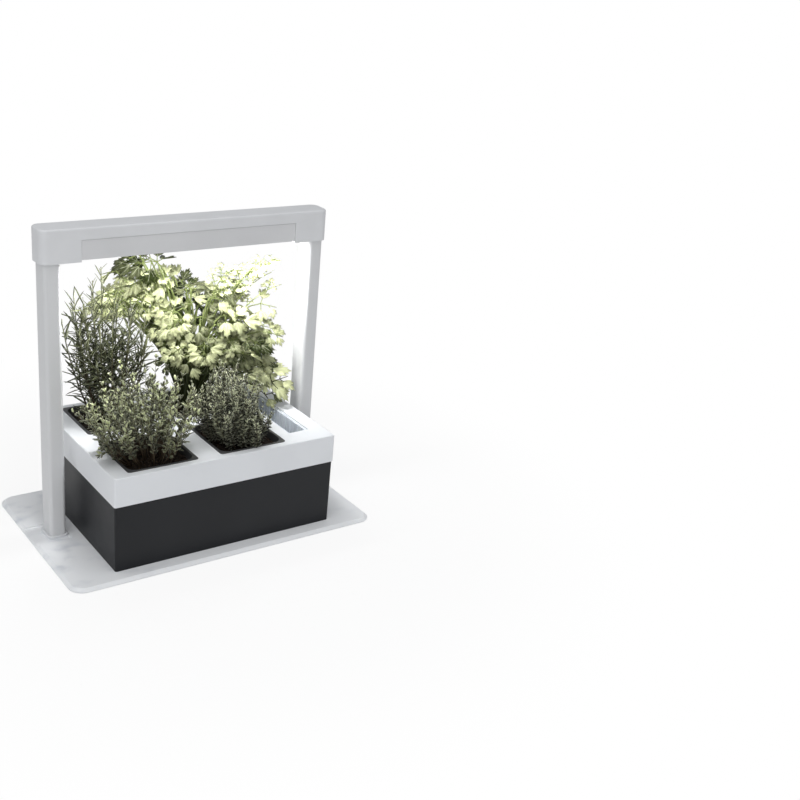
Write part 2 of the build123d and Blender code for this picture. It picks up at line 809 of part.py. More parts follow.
def pot(x, y):
    """A square tapered pot with a flat rim and drain holes."""
    rim = pot_opening - pot_fit - pot_fit
    corner = pot_corner_radius / 2
    shell = drafted_block(pot_bottom_width, pot_bottom_width, corner, pot_bottom_z, pot_seat_z, pot_draft(),
                          x, y)
    shell += rounded_block(rim, rim, pot_opening_radius, pot_seat_z, pot_rim_z, x, y)
    floor_z = pot_bottom_z + pot_wall
    inner = pot_width_at(floor_z) - pot_wall - pot_wall
    shell -= drafted_block(inner, inner, corner, floor_z, pot_rim_z + cut_overrun, pot_draft(), x, y)
    for at_x in (x - pot_drain_pitch / 2, x + pot_drain_pitch / 2):
        for at_y in (y - pot_drain_pitch / 2, y + pot_drain_pitch / 2):
            shell -= upright(pot_drain_radius, 0, floor_z + cut_overrun, at_x, at_y)
    return shell


def soil(x, y):
    """The block of soil in a pot."""
    floor_z = pot_bottom_z + pot_wall
    width = pot_width_at(floor_z) - pot_wall - pot_wall - soil_fit - soil_fit
    corner = pot_corner_radius / 2 - soil_fit
    return drafted_block(width, width, corner, floor_z, soil_z, pot_draft(), x, y)


# Plants

def ring(centre, along, across, radius, count):
    """Points round a centre, square to a direction."""
    u = along.cross(across).normalized()
    v = along.cross(u).normalized()
    turns = [math.tau * i / count for i in range(count)]
    return [centre + u * (radius * math.cos(turn)) + v * (radius * math.sin(turn)) for turn in turns]


def faceted(rings):
    """A closed solid with flat faces through rings of points."""
    faces = [Face(Wire.make_polygon(rings[0])), Face(Wire.make_polygon(rings[-1]))]
    for lower, upper in zip(rings, rings[1:]):
        for i in range(len(lower)):
            j = (i + 1) % len(lower)
            faces.append(Face(Wire.make_polygon([lower[i], lower[j], upper[j]])))
            faces.append(Face(Wire.make_polygon([lower[i], upper[j], upper[i]])))
    return Solid(Shell(faces))


def bent_stem(foot, bend, tip, radii, places):
    """A stem along a curve that leaves the foot towards the bend and ends at the tip."""
    heading = Vector(tip.X - foot.X, tip.Y - foot.Y, 0)
    across = Vector(-heading.Y, heading.X, 0).normalized()
    rings = []
    for radius, t in zip(radii, places):
        centre = foot * ((1 - t) ** 2) + bend * (2 * t * (1 - t)) + tip * (t ** 2)
        along = ((bend - foot) * (1 - t) + (tip - bend) * t).normalized()
        rings.append(ring(centre, along, across, radius, plant_sides))
    return faceted(rings)


sprig_place_shares = (0, 0.3, 0.7, 1)
sprig_girth_shares = (0.3, 1, 0.9, 0.16)
golden_turn_share = 0.382
bend_reach_share = 0.7
bend_height_share = 0.4
rosemary_drop_shares = (0.16, 0.44)
lemon_thyme_drop_shares = (0.42, 0)
thyme_drop_shares = (0.3, 0)


class Bush:
    """The fan of sprigs that makes one bushy plant, and how it is spread."""

    def __init__(self, place, crown_radius, height, lean, reach, sprigs, girth, drop_shares):
        self.x, self.y = pot_places[place]
        self.crown_radius = crown_radius
        self.height = height
        self.lean_x, self.lean_y = lean
        self.reach_x, self.reach_y = reach
        self.sprigs = sprigs
        self.girth = girth
        self.edge_drop_share, self.front_drop_share = drop_shares

    def sprig(self, i):
        """One sprig: each turns on from the last and reaches further out."""
        turn = math.tau * golden_turn_share * i
        out = math.sqrt((i + 1) / self.sprigs)
        east = math.cos(turn) * out
        north = math.sin(turn) * out
        drop = self.edge_drop_share * out * out + self.front_drop_share * max(0, -north)
        rise = self.height * (1 - drop)
        root = Vector(self.x, self.y, soil_z)
        foot = root + Vector(east * self.crown_radius, north * self.crown_radius, crown_height / 2)
        tip = root + Vector(self.lean_x + east * self.reach_x, self.lean_y + north * self.reach_y, rise)
        bend = foot + (tip - foot) * bend_reach_share
        bend = Vector(bend.X, bend.Y, soil_z + rise * bend_height_share)
        radii = [self.girth * share for share in sprig_girth_shares]
        return bent_stem(foot, bend, tip, radii, sprig_place_shares)

    def solid(self):
        """The crown with all its sprigs."""
        return crown(self.x, self.y, self.crown_radius).fuse(*[self.sprig(i) for i in range(self.sprigs)])


def crown(x, y, radius):
    """The low crown that a plant's stems rise from."""
    outline = Plane.XY.offset(soil_z) * Pos(x, y) * RegularPolygon(radius, plant_sides)
    return extrude(outline, crown_height)


def bushes():
    """The three bushy plants by name."""
    rosemary_lean = (rosemary_lean_x, rosemary_lean_y)
    rosemary_reach = (rosemary_reach_x, rosemary_reach_y)
    lemon_thyme_lean = (lemon_thyme_lean_x, lemon_thyme_lean_y)
    lemon_thyme_reach = (lemon_thyme_reach_x, lemon_thyme_reach_y)
    thyme_lean = (thyme_lean_x, thyme_lean_y)
    thyme_reach = (thyme_reach_x, thyme_reach_y)
    return {
        "rosemary_plant": Bush("rear_left", rosemary_crown_radius, rosemary_height, rosemary_lean,
                               rosemary_reach, rosemary_sprigs, rosemary_girth, rosemary_drop_shares),
        "lemon_thyme_plant": Bush("front_left", lemon_thyme_crown_radius, lemon_thyme_height,
                                  lemon_thyme_lean, lemon_thyme_reach, lemon_thyme_sprigs,
                                  lemon_thyme_girth, lemon_thyme_drop_shares),
        "thyme_plant": Bush("front_right", thyme_crown_radius, thyme_height, thyme_lean, thyme_reach,
                            thyme_sprigs, thyme_girth, thyme_drop_shares),
    }


# Each leaf of the parsley: its place from the crown along X and Y in shares of the reach, its height above
# the soil in shares of the plant's height, and its size in shares of the largest leaf.
parsley_leaf_shares = (
    (-0.94, 0.40, 0.78, 0.66), (-0.73, 0.40, 0.90, 0.66), (-0.51, 0.39, 0.95, 0.70),
    (-0.84, 0.41, 0.68, 0.60), (-0.62, 0.39, 0.75, 0.74), (-0.72, 0.40, 0.59, 0.60),
    (-0.37, 0.30, 0.84, 0.92), (-0.15, 0.30, 0.89, 0.90), (0.06, 0.34, 0.83, 0.72),
    (-0.44, 0.35, 0.68, 0.84), (-0.25, 0.17, 0.74, 1.00), (0.02, 0.20, 0.75, 0.94),
    (0.22, 0.20, 0.64, 0.92), (-0.42, 0.15, 0.54, 0.84), (-0.16, 0.06, 0.61, 1.00),
    (0.14, 0.03, 0.54, 1.00), (0.45, 0.12, 0.58, 0.96), (0.64, 0.20, 0.67, 0.86),
    (0.80, 0.05, 0.90, 0.72), (0.89, -0.09, 0.99, 0.50), (0.88, -0.10, 0.83, 0.50),
    (0.66, 0.01, 0.50, 0.94), (0.74, -0.30, 0.48, 0.92), (0.40, -0.10, 0.45, 0.94),
    (0.72, -0.19, 0.32, 0.94), (0.85, -0.50, 0.42, 0.72), (0.84, -0.60, 0.30, 0.70),
    (0.60, -0.51, 0.24, 0.78), (0.47, -0.31, 0.27, 0.78), (0.22, -0.06, 0.40, 0.80),
    (0.83, -0.54, 0.19, 0.64),
)
parsley_place_shares = (0, 0.3, 0.65, 1)
parsley_girth_shares = (1.6, 1.2, 1, 0.8)
parsley_foot_share = 0.07
parsley_bend_share = 0.25
parsley_rise_share = 0.9
leaf_lobes = 5
leaf_points = 15
leaf_body_share = 0.84
leaf_lobe_share = 0.16
leaf_lean_share = 1.1


def leaf(centre, radius, heading, droop):
    """A flat lobed leaf that leans outwards."""
    normal = Vector(heading.X * droop, heading.Y * droop, 1).normalized()
    u = normal.cross(Vector(0, 1, 0)).normalized()
    v = normal.cross(u).normalized()
    rings = []
    for lift in (-parsley_leaf_thickness / 2, parsley_leaf_thickness / 2):
        points = []
        for i in range(leaf_points):
            turn = math.tau * i / leaf_points
            reach = radius * (leaf_body_share + leaf_lobe_share * math.cos(leaf_lobes * turn))
            spoke = u * (reach * math.cos(turn)) + v * (reach * math.sin(turn))
            points.append(centre + normal * lift + spoke)
        rings.append(points)
    return faceted(rings)


def parsley_plant():
    """Long stalks from one crown, each with a flat lobed leaf."""
    x, y = pot_places["rear_right"]
    pieces = []
    for share_x, share_y, share_z, size_share in parsley_leaf_shares:
        reach = Vector(share_x * parsley_reach, share_y * parsley_reach, 0)
        rise = share_z * parsley_height
        foot = Vector(x, y, soil_z + crown_height / 2) + reach * parsley_foot_share
        bend = Vector(x, y, soil_z + rise * parsley_rise_share) + reach * parsley_bend_share
        tip = Vector(x, y, soil_z + rise) + reach
        radii = [parsley_stalk_radius * share for share in parsley_girth_shares]
        pieces.append(bent_stem(foot, bend, tip, radii, parsley_place_shares))
        droop = leaf_lean_share * (1 - share_z)
        pieces.append(leaf(tip, parsley_leaf_radius * size_share, reach.normalized(), droop))
    return crown(x, y, parsley_crown_radius).fuse(*pieces)


def build():
    """Builds and writes every piece."""
    os.makedirs("parts", exist_ok=True)
    save("base_plate", base_plate())
    save("base_feet", base_feet())
    for name, side in sides.items():
        save(f"post_{name}", post(side))
        save(f"foot_collar_{name}", foot_collar(side))
        save(f"foot_block_{name}", foot_block(side))
        save(f"top_block_{name}", top_block(side))
    save("foot_screws", foot_screws())
    save("lamp_screws", lamp_screws())
    save("lamp_housing", lamp_housing())
    save("lamp_front_panel", lamp_front_panel())
    save("heat_sink", heat_sink())
    save("led_board", led_board())
    save("led_chips", led_chips())
    save("lamp_diffuser", lamp_diffuser())
    save("inner_screws", inner_screws())
    save("driver_board", driver_board())
    save("power_inlet", power_inlet())
    save("inlet_nut", inlet_nut())
    save("lamp_lead", lamp_lead())
    save("timer_switch", timer_switch())
    save("timer_button", timer_button())
    save("reservoir", reservoir())
    save("pot_shelf", pot_shelf())
    save("capillary_mat", capillary_mat())
    save("tray_cover", tray_cover())
    save("fill_well", fill_well())
    for name, (x, y) in pot_places.items():
        save(f"pot_{name}", pot(x, y))
        save(f"soil_{name}", soil(x, y))
    for name, bush in bushes().items():
        save(name, bush.solid())
    save("parsley_plant", parsley_plant())


build()
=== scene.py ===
"""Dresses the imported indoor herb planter: studio, finishes, soil and four growing herbs."""
import json
import logging
import math
import random
from dataclasses import dataclass, field
from enum import Enum, IntEnum
from itertools import combinations
from typing import Iterator, Mapping, Optional, Sequence, Union

import bpy
import numpy as np
from mathutils import Matrix, Vector


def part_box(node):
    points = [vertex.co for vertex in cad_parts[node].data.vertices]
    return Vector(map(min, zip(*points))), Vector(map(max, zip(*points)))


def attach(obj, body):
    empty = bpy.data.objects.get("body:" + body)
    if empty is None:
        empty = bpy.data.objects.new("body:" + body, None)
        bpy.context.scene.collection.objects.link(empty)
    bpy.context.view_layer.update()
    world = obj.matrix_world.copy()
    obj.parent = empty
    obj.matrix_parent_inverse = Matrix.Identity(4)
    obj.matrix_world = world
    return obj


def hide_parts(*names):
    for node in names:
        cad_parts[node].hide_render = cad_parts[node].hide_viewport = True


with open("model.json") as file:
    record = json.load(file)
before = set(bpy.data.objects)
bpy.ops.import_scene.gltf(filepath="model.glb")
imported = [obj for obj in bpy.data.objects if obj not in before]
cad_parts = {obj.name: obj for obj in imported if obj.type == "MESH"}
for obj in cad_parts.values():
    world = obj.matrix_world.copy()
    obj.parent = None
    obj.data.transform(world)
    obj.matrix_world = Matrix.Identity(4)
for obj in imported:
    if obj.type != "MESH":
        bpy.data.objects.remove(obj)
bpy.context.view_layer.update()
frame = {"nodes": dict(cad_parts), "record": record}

log = logging.getLogger("herb_planter")

Colour = tuple[float, float, float]
Place = tuple[float, float, float]
Span = tuple[float, float]

WHITE = (1.0, 1.0, 1.0)
GOLDEN_TURN = 0.382  # the share of a circle from one sprig or needle to the next


class Varied:
    """A number or colour that changes over a surface, with arithmetic that adds Math nodes."""

    def __init__(self, tree: "NodeTree", socket: bpy.types.NodeSocket) -> None:
        """Wraps one output socket of a node tree."""
        self.tree = tree
        self.socket = socket

    def _math(self, operation: str, first: "Amount", second: "Amount") -> "Varied":
        """Adds one Math node."""
        return self.tree.add("ShaderNodeMath", {"operation": operation}, {0: first, 1: second})

    def __add__(self, other: "Amount") -> "Varied":
        """Adds."""
        return self._math("ADD", self, other)

    def __radd__(self, other: "Amount") -> "Varied":
        """Adds, from the right."""
        return self._math("ADD", other, self)

    def __sub__(self, other: "Amount") -> "Varied":
        """Subtracts."""
        return self._math("SUBTRACT", self, other)

    def __rsub__(self, other: "Amount") -> "Varied":
        """Subtracts this from a number."""
        return self._math("SUBTRACT", other, self)

    def __mul__(self, other: "Amount") -> "Varied":
        """Multiplies."""
        return self._math("MULTIPLY", self, other)

    def __rmul__(self, other: "Amount") -> "Varied":
        """Multiplies, from the right."""
        return self._math("MULTIPLY", other, self)

    def smooth(self, low: float, high: float) -> "Varied":
        """Rises smoothly from 0 at low to 1 at high."""
        sockets = {"Value": self, "From Min": low, "From Max": high, "To Min": 0.0, "To Max": 1.0}
        return self.tree.add("ShaderNodeMapRange", {"interpolation_type": "SMOOTHSTEP"}, sockets)


Amount = Union[Varied, float]


class NodeTree:
    """A node tree, which every node is added to by one method."""

    def __init__(self, tree: bpy.types.NodeTree) -> None:
        """Takes over a tree and empties it."""
        self.tree = tree
        self.tree.nodes.clear()

    def add(self, kind: str, settings: Optional[Mapping[str, object]] = None,
            sockets: Optional[Mapping[Union[str, int], object]] = None,
            output: Union[str, int] = 0) -> Varied:
        """Adds one node.

        Args:
            kind: The node's type.
            settings: What is set on the node first.
            sockets: The value or link of each input, by name or number.
            output: The output that is wanted.

        Returns:
            That output.
        """
        node = self.tree.nodes.new(kind)
        for name, value in (settings or {}).items():
            setattr(node, name, value)
        for name, value in (sockets or {}).items():
            if isinstance(value, Varied):
                self.tree.links.new(value.socket, node.inputs[name])
            else:
                node.inputs[name].default_value = value
        return Varied(self, node.outputs[output] if node.outputs else None)


class FinishTree(NodeTree):
    """The node tree of one finish, with the patterns that finishes share."""

    def __init__(self, name: str) -> None:
        """Makes the finish with an empty tree.

        Args:
            name: The material's name.
        """
        self.material = bpy.data.materials.new(name)
        self.material.use_nodes = True
        super().__init__(self.material.node_tree)

    def place(self) -> Varied:
        """The place on the piece, in metres."""
        return self.add("ShaderNodeTexCoord", output="Object")

    def height(self) -> Varied:
        """The height on the piece, in metres."""
        return self.add("ShaderNodeSeparateXYZ", sockets={0: self.place()}, output="Z")

    def noise(self, size: float, detail: float = 3.0, stretch: Place = (1, 1, 1)) -> Varied:
        """Cloudy noise.

        Args:
            size: The width of a cloud, in metres.
            detail: How many finer layers it has.
            stretch: How much finer it is along each axis.

        Returns:
            A number from 0 to 1, mostly near 0.5.
        """
        where = self.add("ShaderNodeMapping", sockets={"Vector": self.place(), "Scale": stretch})
        return self.add("ShaderNodeTexNoise", sockets={"Vector": where, "Scale": 1 / size, "Detail": detail})

    def cells(self, size: float) -> Varied:
        """The distance from the middle inside cells of a size in metres."""
        return self.add("ShaderNodeTexVoronoi", {"feature": "F1"},
                        {"Vector": self.place(), "Scale": 1 / size}, "Distance")

    def mark(self, name: str) -> Varied:
        """A number that the mesh holds at its points."""
        return self.add("ShaderNodeAttribute", {"attribute_name": name}, output="Fac")

    def mix(self, share: Amount, first: Union[Varied, Colour], second: Union[Varied, Colour]) -> Varied:
        """Mixes two colours.

        Args:
            share: How much of the second one there is.
            first: The first colour.
            second: The second colour.

        Returns:
            The mixed colour.
        """
        factor_input, first_input, second_input, colour_output = 0, 6, 7, 2
        colours = [c if isinstance(c, Varied) else (*c, 1.0) for c in (first, second)]
        sockets = {factor_input: share, first_input: colours[0], second_input: colours[1]}
        return self.add("ShaderNodeMix", {"data_type": "RGBA"}, sockets, colour_output)

    def bump(self, height: Varied, depth: float, strength: float = 1.0) -> Varied:
        """A normal from a height of 0 to 1 that stands for a depth in metres."""
        return self.add("ShaderNodeBump", sockets={"Height": height, "Distance": depth, "Strength": strength},
                        output="Normal")

    def finish(self, **sockets: object) -> bpy.types.Material:
        """Ends the tree in a Principled shader.

        Args:
            **sockets: The shader's values and links, with _ for a space.

        Returns:
            The finish as a material.
        """
        named = {name.replace("_", " "): value for name, value in sockets.items()}
        for name in ("Base Color", "Emission Color"):
            if isinstance(named.get(name), tuple):
                named[name] = (*named[name], 1.0)
        shader = self.add("ShaderNodeBsdfPrincipled", sockets=named)
        self.add("ShaderNodeOutputMaterial", sockets={"Surface": shader})
        return self.material


def shaded(colour: Colour, factor: float) -> Colour:
    """A colour made lighter or darker by a factor."""
    return tuple(min(1.0, part * factor) for part in colour)


@dataclass(frozen=True)
class Moulding:
    """Moulded plastic or rubber: a fine grain, a slow change of tone and a sheen that isn't quite even."""

    colour: Colour
    roughness: float
    grain: float = 0.0005
    grain_depth: float = 0.00002
    cloud: float = 0.05
    cloud_size: float = 0.06
    sheen_change: float = 0.06
    coat: float = 0.0
    coat_roughness: float = 0.15
    shine: float = 0.5
    cloud_edges: Span = (0.35, 0.65)

    def material(self, name: str) -> bpy.types.Material:
        """Builds the finish.

        Args:
            name: The material's name.

        Returns:
            The material.
        """
        tree = FinishTree(name)
        clouds = tree.noise(self.cloud_size)
        tone = tree.mix(clouds.smooth(*self.cloud_edges), shaded(self.colour, 1 - self.cloud),
                        shaded(self.colour, 1 + self.cloud))
        fine = tree.noise(self.grain, detail=2.0)
        rubbed = tree.noise(self.cloud_size / 3, detail=4.0)
        roughness = self.roughness + self.sheen_change * (rubbed - 0.5) * 2.0
        return tree.finish(Base_Color=tone, Roughness=roughness, Coat_Weight=self.coat,
                           Coat_Roughness=self.coat_roughness, Specular_IOR_Level=self.shine,
                           Normal=tree.bump(fine, self.grain_depth))


@dataclass(frozen=True)
class BaseMoulding:
    """The base's pale plastic, clouded with bluish marks that are painted reflections and shade, strongest at
    its left end.
    """

    colour: Colour
    # marks: the colour of the painted reflections and shade
    marks: Colour
    roughness: float
    reflection_shade_from: Span = (-0.20, -0.08)
    streak_size: float = 0.06
    streak_stretch: Place = (1.0, 1.8, 1.0)
    streak_edges: Span = (0.44, 0.70)
    blotch_size: float = 0.022
    blotch_edges: Span = (0.30, 0.72)
    least_reflection_shade: float = 0.12
    left_reflection_shade: float = 0.5
    blotch_height: float = 0.6
    reflection_shade_roughness: float = 0.14
    grain: float = 0.0006
    grain_depth: float = 0.00002

    def material(self, name: str) -> bpy.types.Material:
        """Builds the finish.

        Args:
            name: The material's name.

        Returns:
            The material.
        """
        tree = FinishTree(name)
        reflection_streaks = tree.noise(self.streak_size, 2.0, self.streak_stretch)
        blotches = tree.noise(self.blotch_size, 2.0)
        across = tree.add("ShaderNodeSeparateXYZ", sockets={0: tree.place()}, output="X")
        left = 1 - across.smooth(*self.reflection_shade_from)
        # painted reflections and shade: streaky bluish clouds, strongest towards the left end by the post
        reflection_shade = reflection_streaks.smooth(*self.streak_edges) * blotches.smooth(*self.blotch_edges)
        reflection_shade = reflection_shade * (self.least_reflection_shade + self.left_reflection_shade * left)
        tone = tree.mix(reflection_shade, self.colour, self.marks)
        grain = tree.noise(self.grain, 2.0)
        return tree.finish(Base_Color=tone, Roughness=self.roughness + self.reflection_shade_roughness * reflection_shade,
                           Normal=tree.bump(grain + blotches * self.blotch_height, self.grain_depth))


@dataclass(frozen=True)
class PowderCoat:
    """Satin powder coat on a tube: a soft orange-peel skin with fine flecks."""

    colour: Colour
    roughness: float
    peel_size: float = 0.0016
    peel_depth: float = 0.00003
    peel_roughness: float = 0.08
    fleck_size: float = 0.0007
    fleck_edges: Span = (0.15, 0.3)
    fleck_shade: float = 0.8
    fleck_share: float = 0.06
    fleck_height: float = 0.3
    drift_size: float = 0.08
    drift_stretch: Place = (1, 1, 0.3)
    drift_edges: Span = (0.3, 0.7)
    drift: float = 0.03
    pattern_share: float = 0.85

    def material(self, name: str) -> bpy.types.Material:
        """Builds the finish.

        Args:
            name: The material's name.

        Returns:
            The material.
        """
        tree = FinishTree(name)
        peel = tree.noise(self.peel_size, 1.0)
        flecks = tree.cells(self.fleck_size)
        drift = tree.noise(self.drift_size, 2.0, self.drift_stretch)
        darker, paler = shaded(self.colour, 1 - self.drift), shaded(self.colour, 1 + self.drift)
        tone = tree.mix(drift.smooth(*self.drift_edges), darker, paler)
        tone = tree.mix(flecks.smooth(*self.fleck_edges) * self.fleck_share,
                        shaded(self.colour, self.fleck_shade), tone)
        tone = tree.mix(self.pattern_share, self.colour, tone)
        return tree.finish(Base_Color=tone, Roughness=self.roughness + self.peel_roughness * (peel - 0.5),
                           Normal=tree.bump(peel + self.fleck_height * flecks, self.peel_depth))


@dataclass(frozen=True)
class Metal:
    """Bare metal with drawn lines along one axis and a faint stain."""

    colour: Colour
    roughness: float
    line_width: float = 0.0006
    line_stretch: Place = (0.05, 1, 1)
    line_depth: float = 0.00001
    line_roughness: float = 0.2
    stain_size: float = 0.01
    stain_edges: Span = (0.3, 0.7)
    stain: float = 0.88

    def material(self, name: str) -> bpy.types.Material:
        """Builds the finish.

        Args:
            name: The material's name.

        Returns:
            The material.
        """
        tree = FinishTree(name)
        drawn = tree.noise(self.line_width, 2.0, self.line_stretch)
        stain = tree.noise(self.stain_size)
        tone = tree.mix(stain.smooth(*self.stain_edges), shaded(self.colour, self.stain), self.colour)
        return tree.finish(Base_Color=tone, Metallic=1.0,
                           Roughness=self.roughness + self.line_roughness * (drawn - 0.5),
                           Normal=tree.bump(drawn, self.line_depth))


@dataclass(frozen=True)
class CircuitBoard:
    """Solder resist over copper tracks."""

    colour: Colour
    track: Colour
    track_pitch: float = 0.004
    track_edges: Span = (0.42, 0.5)
    track_share: float = 0.5
    track_depth: float = 0.00003
    track_roughness: float = 0.1
    roughness: float = 0.35

    def material(self, name: str) -> bpy.types.Material:
        """Builds the finish.

        Args:
            name: The material's name.

        Returns:
            The material.
        """
        tree = FinishTree(name)
        tracks = tree.cells(self.track_pitch).smooth(*self.track_edges)
        tone = tree.mix(tracks * self.track_share, self.colour, self.track)
        return tree.finish(Base_Color=tone, Roughness=self.roughness + self.track_roughness * tracks,
                           Normal=tree.bump(tracks, self.track_depth))


@dataclass(frozen=True)
class Glow:
    """A lit plastic: chips or the frosted plate under them."""

    colour: Colour
    light: Colour
    strength: float
    roughness: float = 0.5
    frost_size: float = 0.0008
    frost_shade: float = 0.96
    frost_depth: float = 0.00002
    frost_roughness: float = 0.1

    def material(self, name: str) -> bpy.types.Material:
        """Builds the finish.

        Args:
            name: The material's name.

        Returns:
            The material.
        """
        tree = FinishTree(name)
        frost = tree.noise(self.frost_size, 2.0)
        tone = tree.mix(frost, shaded(self.colour, self.frost_shade), self.colour)
        return tree.finish(Base_Color=tone, Roughness=self.roughness + self.frost_roughness * frost,
                           Emission_Color=self.light, Emission_Strength=self.strength,
                           Normal=tree.bump(frost, self.frost_depth))


@dataclass(frozen=True)
class Felt:
    """Needled felt with a damp, fibrous top."""

    colour: Colour
    fibre_size: float = 0.0012
    fibre_stretch: Place = (1, 3, 1)
    fibre_edges: Span = (0.3, 0.7)
    fibre_shade: float = 0.6
    fibre_depth: float = 0.0003
    fibre_roughness: float = 0.05
    damp_size: float = 0.05
    damp_edges: Span = (0.45, 0.65)
    damp_shade: float = 0.5
    damp_share: float = 0.4
    roughness: float = 0.9
    sheen: float = 0.2

    def material(self, name: str) -> bpy.types.Material:
        """Builds the finish.

        Args:
            name: The material's name.

        Returns:
            The material.
        """
        tree = FinishTree(name)
        fibres = tree.noise(self.fibre_size, detail=6.0, stretch=self.fibre_stretch)
        damp = tree.noise(self.damp_size, detail=2.0).smooth(*self.damp_edges)
        tone = tree.mix(fibres.smooth(*self.fibre_edges), shaded(self.colour, self.fibre_shade), self.colour)
        tone = tree.mix(damp * self.damp_share, tone, shaded(self.colour, self.damp_shade))
        return tree.finish(Base_Color=tone, Roughness=self.roughness + self.fibre_roughness * fibres,
                           Sheen_Weight=self.sheen, Normal=tree.bump(fibres, self.fibre_depth))


@dataclass(frozen=True)
class Compost:
    """Moist potting compost: dark crumbs with paler bark, and painted shade in the hollows of its surface."""

    dark: Colour
    bark: Colour
    crumb_size: float = 0.004
    gap_shadow_edges: Span = (0.1, 0.6)
    gap_shadow: float = 0.5
    bit_size: float = 0.003
    bark_edges: Span = (0.5, 0.7)
    depth: float = 0.001
    roughness: float = 0.75
    roughness_change: float = 0.3
    shine: float = 0.2

    def material(self, name: str) -> bpy.types.Material:
        """Builds the finish.

        Args:
            name: The material's name.

        Returns:
            The material.
        """
        tree = FinishTree(name)
        crumbs = tree.cells(self.crumb_size)
        bits = tree.noise(self.bit_size, detail=5.0)
        tone = tree.mix(bits.smooth(*self.bark_edges), self.dark, self.bark)
        # painted shade: darker where the surface dips, in the hollows of the crumbs
        tone = tree.mix(crumbs.smooth(*self.gap_shadow_edges), shaded(self.dark, self.gap_shadow), tone)
        return tree.finish(Base_Color=tone, Roughness=self.roughness + self.roughness_change * (bits - 0.5),
                           Specular_IOR_Level=self.shine, Normal=tree.bump(crumbs + bits, self.depth))


@dataclass(frozen=True)
class Greenery:
    """Leaves: a tone of painted light and shade for each leaf, another along its rim and veins, and painted
    light on high leaves if it is set.
    """

    dark: Colour
    bright: Colour
    rim: Colour
    rim_edges: Span
    rim_share: float
    # top: a paler colour painted on the highest leaves, as painted light
    top: Optional[Colour] = None
    top_light_share: float = 0.15
    top_light_edges: Span = (0.26, 0.42)
    roughness: float = 0.36
    roughness_change: float = 0.12
    vein_depth: float = 0.0001
    shine: float = 0.2
    tone_share: float = 0.92
    mottle_size: float = 0.006
    mottle_share: float = 0.3
    mottle_middle: float = 0.47
    grain: float = 0.0012

    def material(self, name: str) -> bpy.types.Material:
        """Builds the finish.

        Args:
            name: The material's name.

        Returns:
            The material.
        """
        tree = FinishTree(name)
        mottle = self.mottle_share * (tree.noise(self.mottle_size) - self.mottle_middle)
        # the tone that each leaf holds is painted light and shade
        tone = tree.mix(tree.mark("tone") * self.tone_share + mottle, self.dark, self.bright)
        # painted light: leaves higher up are painted paler
        if self.top:
            high = tree.height().smooth(*self.top_light_edges) * self.top_light_share
            tone = tree.mix(high, tone, self.top)
        rim = tree.mark("rim").smooth(*self.rim_edges)
        tone = tree.mix(rim * self.rim_share, tone, self.rim)
        fine = tree.noise(self.grain, detail=2.0)
        return tree.finish(Base_Color=tone, Roughness=self.roughness + self.roughness_change * (fine - 0.5),
                           Specular_IOR_Level=self.shine, Normal=tree.bump(fine + rim, self.vein_depth))


@dataclass(frozen=True)
class Stalk:
    """Stems: fibrous along their length, woody at the foot and green above."""

    foot: Colour
    green: Colour
    turns_green: Span
    fibre_size: float = 0.0015
    fibre_stretch: Place = (1, 1, 0.2)
    fibre_edges: Span = (0.4, 0.7)
    fibre_shade: float = 0.6
    fibre_share: float = 0.4
    fibre_depth: float = 0.0002
    roughness: float = 0.55
    roughness_change: float = 0.1
    shine: float = 0.15

    def material(self, name: str) -> bpy.types.Material:
        """Builds the finish.

        Args:
            name: The material's name.

        Returns:
            The material.
        """
        tree = FinishTree(name)
        fibres = tree.noise(self.fibre_size, stretch=self.fibre_stretch)
        tone = tree.mix(tree.height().smooth(*self.turns_green), self.foot, self.green)
        tone = tree.mix(fibres.smooth(*self.fibre_edges) * self.fibre_share, tone,
                        shaded(self.foot, self.fibre_shade))
        return tree.finish(Base_Color=tone, Roughness=self.roughness + self.roughness_change * fibres,
                           Specular_IOR_Level=self.shine, Normal=tree.bump(fibres, self.fibre_depth))


